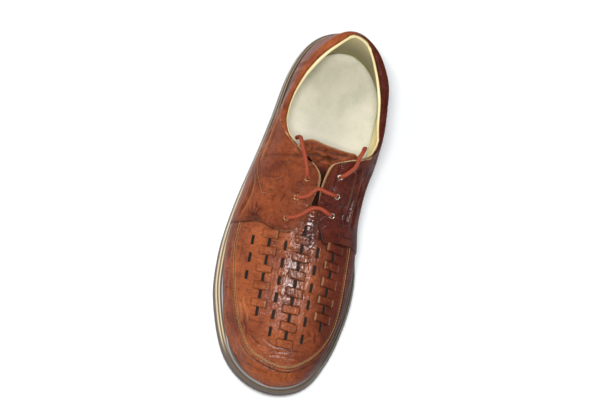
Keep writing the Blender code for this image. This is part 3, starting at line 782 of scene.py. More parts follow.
def braided_cotton(name, deep, mid, light):
    """Round braided cotton: rust threads, matt, with painted shade between the strands."""
    material, tree, shader, mm = start_material(name)
    strand = add(tree, "ShaderNodeAttribute", {"attribute_name": "strand"})
    lint = add(tree, "ShaderNodeTexNoise", {"Scale": 1 / 0.7, "Detail": 4.0}, {"Vector": mm})
    # Painted shade: darker where the strand attribute is low, in the grooves between strands
    blend = add(tree, "ShaderNodeMath", {"operation": "MULTIPLY_ADD", 1: 0.35},
                {0: lint.outputs["Fac"], 2: strand.outputs["Fac"]})
    tone = add(tree, "ShaderNodeValToRGB", links={"Fac": blend.outputs["Value"]},
               ramp=((0.15, linear(deep)), (0.6, linear(mid)), (1.0, linear(light))))
    tree.links.new(tone.outputs["Color"], shader.inputs["Base Color"])
    bump = add(tree, "ShaderNodeBump", {"Strength": 0.4, "Distance": 0.0002}, {"Height": lint.outputs["Fac"]})
    tree.links.new(bump.outputs["Normal"], shader.inputs["Normal"])
    shader.inputs["Roughness"].default_value = 0.72
    return material


# Lateral and medial tones of each leather; the deeper medial one is partly real dye and partly painted shade
CALF = glazed_leather("glazed_brown_calf",
                      ("#743215", "#924820", "#a95829"), ("#47190f", "#5e2518", "#743525"))
TONGUE_CALF = glazed_leather("glazed_tongue_calf",
                             ("#55220e", "#733516", "#8d4720"), ("#4a1c14", "#62281c", "#783829"))
CUT_EDGE = cut_leather("cut_leather_edge", "#cfae7e", "#9c7249")
SLOT_EDGE = cut_leather("cut_slot_edge", "#8a5a34", "#4a2815")
CREAM_LINING = lining_leather("pigskin_lining", "#e0cd90", "#ecdca6", "#f3e8bd", 0.62)
SOCK_LEATHER = lining_leather("sock_leather", "#bcbfa9", "#d5d1be", "#e2dccb", 0.55)
# Near-black vamp lining: painted shade for the dark seen through the slots
PAINTED_SHADE_LINING = lining_leather("vamp_lining", "#150d08", "#1b1109", "#22160c", 0.85)
RUBBER = moulded_rubber("moulded_taupe_rubber", "#382a21", "#453529", "#544235")
NICKEL = nickel_plate("nickel_plated_brass", "#b3a78f", "#f2efe6")
WORN_NICKEL = nickel_plate("worn_nickel_plate", "#7a5636", "#c2a27a")
LACE_COTTON = braided_cotton("braided_rust_cotton", "#3c1106", "#8a3114", "#b14a24")
TAN_THREAD = braided_cotton("waxed_tan_thread", "#6a4826", "#a07a48", "#c09a64")
DARK_THREAD = braided_cotton("waxed_brown_thread", "#3a1c10", "#55301c", "#70452b")


def lattice(k, row):
    """Place in plan of a column and row of the weave, slanted as the lattice leans."""
    y = ROW_START - ROW_PITCH * row
    return COLUMN_START + COLUMN_PITCH * k + COLUMN_LEAN * (y - ROW_START), y


def slot_places():
    """Middle of each slot."""
    return np.array([lattice(k, row) for k, (first, last) in SLOT_ROWS.items()
                     for row in range(first, last + 1)])


def crossing_places(lifts):
    """Middle and height of each crossing: half a row behind each slot, one ahead of the middle column."""
    places = []
    for k, lift in lifts.items():
        first, last = SLOT_ROWS[k]
        rows = range(max(first, 0), last + (2 if k == FRONT_LOOP_COLUMN else 1))
        places += [(*lattice(k, row - 0.5), lift) for row in rows]
    return np.array(places)


APRON_ROUTE = over_plan(smooth_route(APRON_SEAM, 260), 0.0)


def apron_inside(x, y):
    """How far a plan place lies inside the apron seam, along the ray from the apron's middle."""
    route = smooth_route(APRON_SEAM, 260) - np.array(APRON_CENTRE)
    turn = np.arctan2(route[:, 0], -route[:, 1])
    order = np.argsort(turn)
    spoke = np.arctan2(x - APRON_CENTRE[0], -(y - APRON_CENTRE[1]))
    reach = np.interp(spoke, turn[order], np.linalg.norm(route, axis=1)[order], period=2.0 * math.pi)
    return reach - np.hypot(x - APRON_CENTRE[0], y - APRON_CENTRE[1])


def front_line(side):
    """Share of the wall and y along a quarter's front edge, on close places."""
    route = smooth_route(QUARTER_FRONT[side], 400)
    share = (1.0 - np.abs(across_of(route[:, 0], route[:, 1]))) / top_share(side, route[:, 1])
    share = np.maximum.accumulate(np.clip(share, 0.0, 1.0))
    share = (share - share[0]) / (share[-1] - share[0])
    return share + np.linspace(0.0, 1e-6, len(share)), route[:, 1]


FRONT_LINES = {side: front_line(side) for side in (-1, 1)}


def front_y(side, share):
    """Where a quarter starts, at a share of the wall from foot to top."""
    return np.interp(share, *FRONT_LINES[side])


# Creases of the vamp in plan: route, half-width and depth; a negative depth is a ridge
VAMP_CREASES = (
    (((-33.0, -97.0), (-31.0, -104.0), (-28.0, -110.0), (-27.5, -116.0)), 1.1, 0.6),
    (((-37.5, -90.0), (-34.0, -99.0), (-33.0, -106.0)), 1.4, -0.5),
    (((4.0, -119.5), (14.0, -118.5), (24.0, -117.0)), 0.9, 0.22),
    (((18.0, -100.0), (23.0, -104.0), (30.0, -107.0)), 0.9, 0.5),
    (((22.0, -96.0), (26.0, -102.0), (27.0, -110.0)), 0.9, 0.4),
    (((-47.0, -40.0), (-45.5, -52.0), (-46.0, -60.0)), 1.2, 0.4),
    (((-36.0, -84.0), (-33.5, -92.0), (-29.5, -99.0), (-27.0, -106.0)), 1.0, -0.85),
    (((-24.0, -112.0), (-20.0, -117.0), (-13.0, -119.5)), 0.9, 0.4),
    (((-13.0, -114.0), (-7.0, -117.5), (1.0, -118.5)), 0.8, 0.35),
    (((26.0, -104.0), (20.0, -108.0), (13.0, -114.0)), 1.0, -0.5),
    (((-30.0, -120.0), (-24.0, -126.5), (-15.0, -131.5)), 1.4, -0.5),
    (((10.0, -132.5), (18.0, -130.0), (26.0, -125.0)), 1.2, 0.3),
    (((-54.2, -51.5), (-52.6, -48.4), (-49.7, -46.6)), 0.8, 0.5),
    (((-54.2, -64.9), (-51.9, -64.3), (-48.7, -65.3)), 0.8, 0.45),
    (((-51.1, -79.9), (-48.5, -78.6), (-45.4, -81.1)), 0.8, 0.45),
    (((-48.8, -89.9), (-45.8, -89.9), (-42.7, -90.5)), 0.8, 0.4),
    (((-47.7, -93.6), (-43.9, -102.9), (-39.2, -110.7)), 1.3, -0.5),
    (((-52.9, -40.6), (-52.1, -50.9), (-50.9, -60.9)), 1.5, -0.5),
    (((-50.5, -66.0), (-48.9, -76.0), (-46.5, -86.0)), 1.5, -0.45),
    (((-19.7, -126.3), (-16.0, -130.0), (-11.1, -132.5)), 0.8, 0.35),
    (((-9.0, -126.5), (2.0, -124.5), (15.0, -123.5), (25.0, -119.0)), 1.0, 0.14),
    (((-8.0, -123.2), (4.0, -121.4), (14.0, -120.6)), 0.9, 0.12),
    (((-24.0, -132.0), (-14.0, -137.0), (-2.0, -139.0)), 1.3, 0.35),
)

# Creases of the quarters: route as y and share of the arch from the crest (0) to the foot (1)
QUARTER_CREASES = {
    -1: (
        (((57.0, 0.709), (42.8, 0.651), (29.7, 0.64), (18.5, 0.645)), 2.4, -0.8),
        (((24.8, 0.648), (24.1, 0.520), (24.1, 0.423), (25.4, 0.276)), 1.1, 0.45),
        (((8.3, 0.529), (7.0, 0.393), (8.9, 0.290)), 1.2, 0.45),
        (((7.9, 0.268), (5.1, 0.307), (3.6, 0.357)), 0.9, 0.5),
        (((-11.4, 0.235), (-7.6, 0.221), (-4.2, 0.204)), 1.0, 0.55),
        (((-1.1, 0.182), (-2.3, 0.126), (-1.1, 0.099)), 1.0, 0.5),
        (((-12.0, 0.556), (-19.8, 0.501), (-24.8, 0.465)), 1.2, 0.9),
        (((-12.0, 0.476), (-19.8, 0.468), (-24.8, 0.465)), 1.1, 0.8),
        (((-16.6, 0.408), (-21.0, 0.440), (-24.8, 0.465)), 1.0, 0.7),
        (((-18.2, 0.568), (-21.6, 0.515), (-24.8, 0.465)), 1.1, 0.8),
        (((-24.4, 0.60), (-24.8, 0.465), (-25.4, 0.36)), 1.2, 1.0),
        (((-21.6, 0.575), (-22.3, 0.473), (-22.8, 0.385)), 0.9, 0.7),
        (((8.0, 0.615), (-4.8, 0.573), (-15.7, 0.593), (-25.1, 0.651)), 1.3, -0.55),
        (((9.0, 0.66), (-5.0, 0.63), (-16.0, 0.65), (-24.0, 0.68)), 1.1, 0.7),
        (((6.0, 0.70), (-7.3, 0.676), (-17.6, 0.706), (-25.0, 0.72)), 1.3, -0.55),
        (((29.4, 0.742), (16.7, 0.645), (3.0, 0.529)), 1.0, 0.4),
        (((66.0, 0.80), (56.0, 0.75), (44.0, 0.72), (34.0, 0.75)), 1.0, 0.7),
        (((113.0, 0.77), (110.4, 0.801), (105.4, 0.942)), 1.0, 1.2),
        (((103.5, 0.77), (99.8, 0.826), (90.8, 0.951)), 1.0, 0.9),
        (((96.0, 0.80), (88.0, 0.88), (76.0, 0.93)), 0.9, 0.6),
        (((80.0, 0.88), (60.0, 0.86), (42.0, 0.82), (20.0, 0.82)), 1.2, 0.7),
        (((2.0, 0.24), (-6.0, 0.30), (-15.0, 0.31)), 0.9, 0.3),
    ),
    1: (
        (((31.0, 0.27), (20.4, 0.346), (5.1, 0.407), (-7.3, 0.384), (-19.0, 0.35)), 1.6, 1.3),
        (((27.0, 0.25), (16.7, 0.315), (2.3, 0.340), (-8.0, 0.325)), 1.4, -0.6),
        (((24.0, 0.43), (12.0, 0.47), (-5.8, 0.45), (-17.0, 0.42)), 1.5, -0.8),
        (((24.0, 0.50), (10.0, 0.55), (-5.8, 0.52), (-18.0, 0.49)), 1.1, 0.9),
        (((21.6, 0.548), (11.0, 0.60), (-4.0, 0.58), (-15.1, 0.55)), 1.3, -0.6),
        (((23.2, 0.06), (16.0, 0.075), (7.3, 0.10)), 0.9, 0.5),
        (((6.4, 0.190), (0.5, 0.204), (-6.4, 0.235)), 0.9, 0.5),
        (((-24.6, 0.33), (-24.0, 0.42), (-22.5, 0.55)), 0.9, 0.8),
        (((34.0, 0.62), (20.0, 0.66), (6.0, 0.70)), 1.1, 0.8),
        (((14.0, 0.56), (2.0, 0.60), (-10.0, 0.58)), 1.0, 0.7),
        (((42.2, 0.80), (30.0, 0.74), (17.3, 0.69), (-0.2, 0.74)), 1.0, 0.8),
        (((60.0, 0.72), (48.0, 0.70), (36.0, 0.62)), 1.2, 0.7),
        (((110.0, 0.70), (98.0, 0.80), (84.0, 0.84)), 1.0, 0.8),
        (((22.0, 0.18), (24.0, 0.26), (25.0, 0.36)), 0.9, 0.5),
        (((-2.0, 0.24), (-10.0, 0.28), (-20.0, 0.30)), 0.9, 0.5),
    ),
}

# Share of pale tan painted as highlight on a ridge's top, and the depth at which a quarter's troughs level
# off above the lining
RIDGE_PAINTED_HIGHLIGHT = 0.26
TROUGH_KNEE = -0.4
TROUGH_REST = 0.45

# Gusset seams of the quarters, as y and share of the arch from crest to foot
GUSSET_SEAMS = {
    -1: ((28.5, 0.232), (15.7, 0.282), (0.8, 0.334), (-5.5, 0.379), (-5.5, 0.451), (-1.1, 0.493),
         (11.7, 0.634), (18.8, 0.706), (31.0, 0.765)),
    1: ((31.0, 0.46), (14.0, 0.60), (1.0, 0.70), (0.4, 0.74), (14.0, 0.78), (30.0, 0.76)),
}


# Creases: points on a route, share of it over which each fades at each end, its lip, and the most painted
# shade in a trough
FOLD_POINTS = 24
FOLD_FADE = 0.18
FOLD_LIP = 0.4
FOLD_DARKEST = 0.75


def folds(points, creases, place, strength=1.0, count=FOLD_POINTS):
    """Creases together: soft troughs or ridges along their routes, each with a low lip, fading at both ends.

    Gives the change of height, the painted shade at the troughs' bottoms and the painted highlight on the
    ridges' tops.
    """
    height = np.zeros(points.shape[:-1])
    dark = np.zeros(height.shape)
    pale = np.zeros(height.shape)
    for route, width, depth in creases:
        depth = strength * depth
        far, share = nearest(points, place(smooth_route(route, count)))
        fade = ease((0.0, FOLD_FADE), share) * ease((1.0, 1.0 - FOLD_FADE), share)
        lip = FOLD_LIP * bell(far - 2.0 * width, 0.9 * width)
        height += fade * depth * (lip - bell(far, width))
        line = fade * bell(far, 0.55 * width)
        dark = np.maximum(dark, np.clip(depth, 0.0, FOLD_DARKEST) * line)
        pale = np.maximum(pale, np.clip(-depth, 0.0, 1.0) * line)
    return height, dark, pale


# Vamp: its last place and grid, and how near a grid line has to be to move onto a slot's edge
VAMP_END = -9.0
VAMP_GRID = (208, 227)
SLOT_CATCH = 0.36

# Weave: bulge beside a slot, half-widths of the leather between slots, and spans of the bed
# and the dark of a strip
SLOT_BULGE = 0.3
SLOT_BULGE_PLACE = (3.0, 0.0)
SLOT_BULGE_HALF = (2.2, 3.4)
BRIDGE_HALF = (4.6, 3.2)
STRIP_BED = ((6.7, 5.6), (3.6, 2.9))
STRIP_SHADOW = ((7.4, 6.2), (4.6, 3.4))

# Apron seam across, as place, half-width and height: ridge, groove, and second groove round the toe; then
# what the ridge gains there, the toe's share of the seam, the apron's step down and the rubbed line
SEAM_RIDGE = (-1.6, 1.5, 0.55)
SEAM_GROOVE = (0.0, 0.75, 0.8)
TOE_GROOVE = (-3.4, 0.7, 0.5)
TOE_RIDGE = 0.3
TOE_SPAN = 0.17
APRON_STEP = 0.35
SEAM_RUB = (0.9, 0.5, 0.55)

# Crinkled bend of the throat and fine ripples of the crest: place, half-widths, height and wave length
BEND_HALF = (9.0, 11.0)
BEND_HEIGHT = 0.5
BEND_WAVE = 3.0
BEND_BOW = 0.03
CREST_MIDDLE = (1.0, -58.0)
CREST_HALF = (20.0, 34.0)
CREST_HEIGHT = 0.2
CREST_WAVE = 3.2

# Toe: flare of the lateral foot over the ledge, glints on the ridge and behind the seam,
# and the lateral wall's dye
TOE_FLARE = 2.4
TOE_FLARE_Y = (-117.0, 24.0)
TOE_GLINT = 0.5
APRON_GLINT = 0.2
APRON_GLINT_SPOT = ((-2.0, -119.0), (17.0, 5.0))
LATERAL_WALL_DYE = 0.48


def cut_slots(x, y):
    """Slots cut in a grid in plan: grid lines close to a slot's edge are moved onto it.

    Gives the moved grid, the places that moved, the places in a slot, and the bulge beside the slots.
    """
    moved = np.zeros(x.shape, bool)
    hole = np.zeros(x.shape, bool)
    bulge = np.zeros(x.shape)
    for sx, sy in slot_places():
        a = x - sx - COLUMN_LEAN * (y - sy)
        b = y - sy
        past_x = np.abs(a) - SLOT_HALF[0]
        past_y = np.abs(b) - SLOT_HALF[1]
        near_x = (np.abs(past_x) < SLOT_CATCH) & (past_y < SLOT_CATCH)
        near_y = (np.abs(past_y) < SLOT_CATCH) & (past_x < SLOT_CATCH)
        x = np.where(near_x, x - np.sign(a) * past_x, x)
        y = np.where(near_y, y - np.sign(b) * past_y, y)
        moved |= near_x | near_y
        hole |= (past_x < SLOT_CATCH) & (past_y < SLOT_CATCH)
        bulge += SLOT_BULGE * spot(np.abs(a), b, SLOT_BULGE_PLACE, SLOT_BULGE_HALF)
    return x, y, moved, hole, bulge


def weave_relief(x, y):
    """Height of the weave: bulges between the slots, sunk under each strip; and the dark round the strips."""
    relief = np.zeros(x.shape)
    shadow = np.zeros(x.shape)
    for sx, sy, high in crossing_places(BRIDGE_LIFTS):
        relief += high * spot(x - sx - COLUMN_LEAN * (y - sy), y - sy, (0.0, 0.0), BRIDGE_HALF)
    for sx, sy, high in crossing_places(STRIP_LIFTS):
        across = np.abs(x - sx - COLUMN_LEAN * (y - sy))
        along = np.abs(y - sy)
        relief -= (0.1 + 0.5 * high) * ease(STRIP_BED[0], across) * ease(STRIP_BED[1], along)
        shadow = np.maximum(shadow, high * ease(STRIP_SHADOW[0], across) * ease(STRIP_SHADOW[1], along))
    return relief, shadow


def seam_relief(inside, toe):
    """Apron seam across: ridge, groove, sunk apron, and a second groove round the toe."""
    ridge = (SEAM_RIDGE[2] + TOE_RIDGE * toe) * bell(inside - SEAM_RIDGE[0], SEAM_RIDGE[1])
    groove = SEAM_GROOVE[2] * bell(inside - SEAM_GROOVE[0], SEAM_GROOVE[1])
    second = TOE_GROOVE[2] * toe * bell(inside - TOE_GROOVE[0], TOE_GROOVE[1])
    return ridge - groove - second - APRON_STEP * ease((-0.4, 0.6), inside)


def ripple_relief(skin):
    """Crinkles: waves across the throat's bend and fine waves along the crest, both bent by a slow swell."""
    x, y = skin[..., 0], skin[..., 1]
    bowed = y + BEND_BOW * (x - THROAT_BEND[0]) ** 2 + 0.9 * swell(skin, 8.0, 8, 17)
    bend = BEND_HEIGHT * spot(x, y, THROAT_BEND, BEND_HALF) * np.sin(2.0 * math.pi * bowed / BEND_WAVE)
    wavy = x + 1.4 * swell(skin, 9.0, 8, 19)
    crest = CREST_HEIGHT * spot(x, y, CREST_MIDDLE, CREST_HALF) * np.sin(2.0 * math.pi * wavy / CREST_WAVE)
    return bend + crest


def build_vamp():
    """Vamp: skin from toe to throat with slots, weave, apron seam, creases and drop under the quarters."""
    y, u = skin_grid(VAMP_END, *VAMP_GRID)
    x, y, moved, hole, bulge = cut_slots(upper_skin(y, u)[..., 0], y)
    weave, shadow = weave_relief(x, y)
    u = np.where(moved, across_of(x, y), u)
    place = np.abs(u)
    skin = upper_skin(y, u)
    far, share = nearest(skin, APRON_ROUTE)
    inside = np.where(apron_inside(skin[..., 0], skin[..., 1]) > 0.0, 1.0, -1.0) * far
    toe = bell(share - 0.5, TOE_SPAN)
    folded, dark, painted_highlight = folds(skin, VAMP_CREASES, lambda path: over_plan(path, 0.0))
    starts = [front_y(side, (1.0 - place) / top_share(side, y)) for side in (-1, 1)]
    before = y - np.where(u < 0.0, *starts)
    drop = VAMP_DROP * ease((-VAMP_DROP_SPAN, -0.5), before) * (1.0 - 0.55 * ease((0.4, 0.7), place))
    flare = TOE_FLARE * bell(y - TOE_FLARE_Y[0], TOE_FLARE_Y[1]) * ease((0.8, 1.0), -u)
    uneven = 0.22 * ease((1.0, 0.88), place) * swell(skin, 24.0, 14, 3)
    relief = bulge + weave + seam_relief(inside, toe) + folded - drop + flare + uneven + ripple_relief(skin)
    # Seam lines, and painted shade: round the strips, in fold troughs, just ahead of the quarters' front
    # edges and on the shaded medial foot
    seam = 0.75 * bell(inside, 0.55) + 0.85 * toe * bell(inside - TOE_GROOVE[0], 0.5)
    medial_foot = 0.45 * ease((0.55, 0.75), u) * ease((-144.0, -122.0), y)
    seams_and_painted_shade = np.maximum.reduce((shadow, seam, dark, 0.6 * bell(before + 0.3, 0.8), medial_foot))
    # Pale tan beside the apron seam, and painted highlight on ridge tops
    edge = np.maximum(SEAM_RUB[2] * bell(inside - SEAM_RUB[0], SEAM_RUB[1]), RIDGE_PAINTED_HIGHLIGHT * painted_highlight)
    points = over_upper(y, u, relief)
    wall = LATERAL_WALL_DYE * ease((1.0, -3.0), inside) * ease((-128.0, -98.0), y)
    glint = TOE_GLINT * toe * bell(inside + 1.3, 1.1) * ease((-0.3, 0.9), swell(skin, 9.0, 8, 37))
    polish = polish_at(points) + glint + APRON_GLINT * spot(skin[..., 0], y, *APRON_GLINT_SPOT)
    quads = grid_quads(*x.shape)
    inner = hole.ravel()[quads].all(axis=1)
    values = {"seams_and_painted_shade": seams_and_painted_shade, "edge": edge, "medial": np.maximum(vamp_dye(points), wall), "polish": polish}
    item = leather_piece("vamp", points, quads[~inner], (CALF, SLOT_EDGE), values, merge=0.02)
    thicken(item, VAMP_LEATHER_THICKNESS, 1)
    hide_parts("upper")


# Strips: grid and thickness of each, seed, how far each strays in tilt, place and length, and common slant
STRIP_GRID = (23, 11)
STRIP_THICKNESS = 1.0
STRIP_SEED = 11
STRIP_TILT = 0.05
STRIP_STRAY = (0.35, 0.2)
STRIP_LENGTHS = (0.86, 1.03)
STRIP_SLANT = 0.018


def build_strips():
    """Cross strips of the weave: each arches over the vamp and dives into it at both ends.

    The height is level in the middle and falls with high powers of the distance to ends and sides; two sine
    waves crinkle it. Ends and sides carry painted shade, and the outer strips' ends are pale.
    """
    draw = np.random.default_rng(STRIP_SEED)
    places = crossing_places(STRIP_LIFTS)
    a, b = np.meshgrid(*(np.linspace(-1.0, 1.0, count) for count in STRIP_GRID), indexing="ij")
    far_a, far_b = np.abs(a), np.abs(b)
    reach = a * STRIP_HALF[0]
    pieces = []
    creases = []
    edges = []
    for sx, sy, level in places:
        tilt = draw.normal(0.0, STRIP_TILT)
        high = level + draw.normal(0.0, 0.03 + 0.16 * level)
        wide = STRIP_HALF[1] * (1.0 + draw.normal(0.0, 0.08)) * (1.0 - 0.06 * far_a ** 3)
        px = sx + draw.normal(0.0, STRIP_STRAY[0]) + reach * draw.uniform(*STRIP_LENGTHS)
        px = px + COLUMN_LEAN * b * wide
        py = sy + draw.normal(0.0, STRIP_STRAY[1]) + b * wide + (tilt + STRIP_SLANT) * reach
        lift = high - (high + 0.7) * far_a ** 13 - (0.06 + 0.8 * level) * far_b ** 17
        ripple = np.sin(5.0 * a + draw.uniform(0.0, 6.0)) * np.cos(3.0 * b + draw.uniform(0.0, 6.0))
        lift += (0.03 + 0.3 * level) * ripple
        lift += 0.45 * level * np.sin(2.0 * math.pi * (px + draw.uniform(0.0, 3.0)) / 2.9 + 1.5 * b)
        pieces.append(over_plan(np.stack((px, py), axis=-1), lift))
        # Painted shade at the strips' ends, where they dive, and along their sides
        creases.append(np.maximum(0.75 * bell(far_a - 0.99, 0.05), 1.9 * level * far_b ** 22))
        pale = draw.uniform(0.1, 0.75, 2) * (sx > 10.0, np.abs(sx) > 10.0)
        edges.append(pale[0] * bell(a + 0.88, 0.05) + pale[1] * bell(a - 0.88, 0.05))
    points = np.stack(pieces)
    quads = np.concatenate([grid_quads(*STRIP_GRID) + i * a.size for i in range(len(places))])
    values = {"seams_and_painted_shade": np.stack(creases), "edge": np.stack(edges), "medial": vamp_dye(points)}
    item = leather_piece("woven_strips", points, quads, (CALF, SLOT_EDGE), values)
    thicken(item, STRIP_THICKNESS, 1)


# Quarters: grid along and up the wall, closeness of its rows to the foot, and strength of the creases
QUARTER_GRID = (240, 121)
QUARTER_DRAW = 1.05
QUARTER_FOLD = 1.25
QUARTER_NAMES = {-1: "quarter_lateral", 1: "quarter_medial"}
LATERAL_QUARTER_DYE = 0.46

# Share of a quarter's lift that it loses from the shoulder to the foot
LIFT_LOST = 0.7
LIFT_SPAN = (0.4, 0.7)

# Hem under the collar: where it starts, and its distance from the rim
HEM_SPAN = (50.0, 62.0)
HEM_DISTANCE = 3.2

# Gusset: points on its seam, where the lateral one's stitches start, depth before that, and puckers' beat
GUSSET_POINTS = 90
GUSSET_STITCHED = (0.34, 0.4)
GUSSET_LOOSE = 0.3
PUCKER_BEAT = 2.7


def quarter_lift(place):
    """Height of a quarter over the skin, less from the shoulder to the foot."""
    return QUARTER_LIFT * (1.0 - LIFT_LOST * ease(LIFT_SPAN, place))


def gusset_relief(side, skin):
    """Sunk gusset seam with a low lip; where it has no stitches it puckers, uneven in beat and place.

    Gives the height, the dark of the seam and the puckers.
    """
    seam = polyline(GUSSET_SEAMS[side], GUSSET_POINTS)
    far, along = nearest(skin, upper_skin(seam[:, 0], side * seam[:, 1]))
    stitched = GUSSET_LOOSE + (1.0 - GUSSET_LOOSE) * ease(GUSSET_STITCHED, along) if side < 0 else 1.0
    beat = np.sin(2.0 * math.pi * along * GUSSET_POINTS / PUCKER_BEAT + 2.2 * swell(skin, 9.0, 8, 29))
    pucker = (1.0 - stitched) * bell(far + 0.4 * swell(skin, 6.0, 8, 27), 1.3) * beat
    groove = stitched * (0.3 * bell(far - 2.2, 1.0) - 0.45 * bell(far, 0.9))
    return groove + 0.4 * pucker, 0.5 * stitched * bell(far, 0.5), pucker


def build_quarter(side):
    """One quarter: skin from front edge to back seam, foot to facing edge or collar, raised on the vamp.

    Creases, gusset, back seam, rolled edges and the hem under the collar add up, and troughs level off above
    the lining. Facing edges are scuffed pale, and puckers and ridge tops carry painted highlight; seams and
    hem are dark, and troughs, wall edges and the medial wall carry painted shade.
    """
    medial = float(side > 0)
    rows, columns = QUARTER_GRID
    share = np.linspace(0.0, 1.0, columns) ** QUARTER_DRAW
    start = station_angle(front_y(side, share), UPPER_HALF_LENGTH)[None, :]
    y = -UPPER_HALF_LENGTH * np.cos(start + (math.pi - start) * np.linspace(0.0, 1.0, rows)[:, None])
    u = side * (1.0 - share[None, :] * top_share(side, y))
    place = np.abs(u)
    skin = upper_skin(y, u)
    folded, dark, painted_highlight = folds(skin, QUARTER_CREASES[side],
                              lambda path: upper_skin(path[:, 0], side * path[:, 1]), QUARTER_FOLD)
    sewn, line, pucker = gusset_relief(side, skin)
    top_edge, _ = nearest(skin, skin[::2, -1])
    front_edge, _ = nearest(skin, skin[0])
    rim = np.minimum(top_edge, front_edge)
    hem = ease(HEM_SPAN, y)
    back_seam = bell(np.abs(skin[..., 0] - RIDGE_X), 0.9) * (UPPER_HALF_LENGTH - y < 12.0)
    relief = quarter_lift(place) + folded + sewn - 0.5 * back_seam + 0.3 * swell(skin, 30.0, 14, 5 + side)
    relief -= 0.35 * bell(rim, 0.8) + 0.4 * hem * bell(top_edge - HEM_DISTANCE, 0.8)
    deep = np.clip(TROUGH_KNEE - relief, 0.0, None)
    relief += deep - TROUGH_REST * np.tanh(deep / TROUGH_REST)
    facing = ease((52.0, 40.0), y) * (ease((-22.0, -10.0), y) if side > 0 else 1.0)
    edge = 0.7 * facing * bell(top_edge, 0.22)
    edge += 0.4 * (1.0 - medial) * bell(front_edge, 0.25) * ease((0.3, 0.16), place)
    # Painted highlight on the tops of puckers and ridges, weaker on the shaded medial side
    edge += 0.16 * np.clip(pucker, 0.0, 1.0) + RIDGE_PAINTED_HIGHLIGHT * painted_highlight * (1.0 - 0.6 * medial)
    # Stitch, seam and hem lines, and painted shade: fold troughs, under the front edge, the medial front
    # corner's edge and the medial wall
    seams_and_painted_shade = np.maximum.reduce((
        dark,
        line,
        0.3 * bell(rim - 1.9, 0.5) * ease((46.0, 38.0), y),
        (0.85 - 0.35 * medial) * bell(front_edge, 0.7) * ease((0.28, 0.42), place),
        0.8 * medial * bell(rim, 0.8) * ease((-10.0, -20.0), y),
        (0.32 + 0.2 * ease((40.0, 75.0), y)) * ease((0.35, 0.6), u),
        0.85 * hem * bell(top_edge - HEM_DISTANCE, 0.75),
    ))
    dye = np.full(y.shape, LATERAL_QUARTER_DYE)
    # Deeper medial tone towards the medial side and the heel: partly real dye and partly painted shade
    if side > 0:
        dye = np.maximum(ease((0.0, 20.0), skin[..., 0]), ease((66.0, 46.0), y))
    item = leather_piece(QUARTER_NAMES[side], over_upper(y, u, relief), grid_quads(*y.shape)[:, ::-side],
                         (CALF, CUT_EDGE), {"seams_and_painted_shade": seams_and_painted_shade, "edge": edge, "medial": dye})
    thicken(item, QUARTER_LEATHER_THICKNESS, 1)
    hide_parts("upper")


def upright(side, y, points):
    """Inside of the heel brought upright: every height leans as far forward as the rim does."""
    rim = upper_skin(y, rim_place(side, y))[..., 2]
    missing = np.clip(heel_lean(rim) - heel_lean(points[..., 2]), 0.0, None) * ease(HEEL_LEAN_SPAN, y)
    moved = points.copy()
    moved[..., 1] -= HEEL_LEAN * missing
    return moved


# Linings: front end and grid of the quarters' lining, end and grid of the vamp's, and its drop and thickness
LINING_START = -16.0
LINING_GRID = (130, 60)
LINING_NAMES = {-1: "lining_lateral", 1: "lining_medial"}
LINING_SHADE_HEIGHTS = (64.0, 16.0)
LINING_SHADE_HEEL = (106.0, 136.0)
VAMP_LINING_END = -12.0
VAMP_LINING_GRID = (70, 81)
VAMP_LINING_DROP = 0.7
VAMP_LINING_THICKNESS = 0.5
VAMP_LINING_TAPER = 0.12


def build_lining():
    """Cream lining of both quarters inside the wall, with painted shade low in the heel, and the vamp's
    near-black lining, painted dark for the shade under the weave.
    """
    rows, columns = LINING_GRID
    share = np.linspace(0.0, 1.0, columns)
    for side, name in LINING_NAMES.items():
        y = np.repeat(stations(LINING_START, UPPER_HALF_LENGTH, rows)[:, None], columns, axis=1)
        below = LINING_SETBACK / 80.0 * ease((40.0, 30.0), y)
        u = side * (1.0 - share[None, :] * (top_share(side, y) - below))
        skin = upper_skin(y, u)
        height = skin[..., 2] - sole_top(y)
        # Painted shade: olive low down and towards the heel, where the walls shade the lining
        shade = ease(LINING_SHADE_HEIGHTS, height) * (0.03 + 0.9 * ease(LINING_SHADE_HEEL, y))
        points = upright(side, y, over_upper(y, u, 0.15 * swell(skin, 26.0, 10, 9) - LINING_DEPTH))
        item = leather_piece(name, points, grid_quads(*y.shape)[:, ::-side],
                             (CREAM_LINING,), {"seams_and_painted_shade": shade, "edge": 0.0 * shade})
        thicken(item, LINING_THICKNESS)
    y, u = skin_grid(VAMP_LINING_END, *VAMP_LINING_GRID)
    drop = LINING_DEPTH + VAMP_LINING_DROP + VAMP_DROP * ease((-50.0, -34.0), y)
    drop = np.minimum(drop, VAMP_LINING_TAPER * (y + UPPER_HALF_LENGTH))
    item = leather_piece("lining_vamp", over_upper(y, u, -drop), grid_quads(*y.shape), (PAINTED_SHADE_LINING,),
                         {"seams_and_painted_shade": 0.0 * y, "edge": 0.0 * y}, merge=0.02)
    thicken(item, VAMP_LINING_THICKNESS)


# Section of the padded collar: distance out from the wall, share of the way to its inner line,
# and height over the rim
ROLL_SECTION = ((-0.3, 0.0, -2.7), (0.5, 0.0, -2.5), (1.0, 0.0, -1.7), (1.05, 0.0, -0.8), (0.7, 0.04, 0.15),
                (0.2, 0.18, 0.8), (0.0, 0.4, 1.05), (0.0, 0.65, 0.85), (0.0, 0.86, 0.15), (0.0, 0.98, -0.9),
                (0.0, 1.0, -2.0), (0.0, 0.92, -3.2))
ROLL_ENDS = {-1: (34.5, 54.0), 1: (36.0, 48.0)}
ROLL_LEAST_WIDTH = 0.8

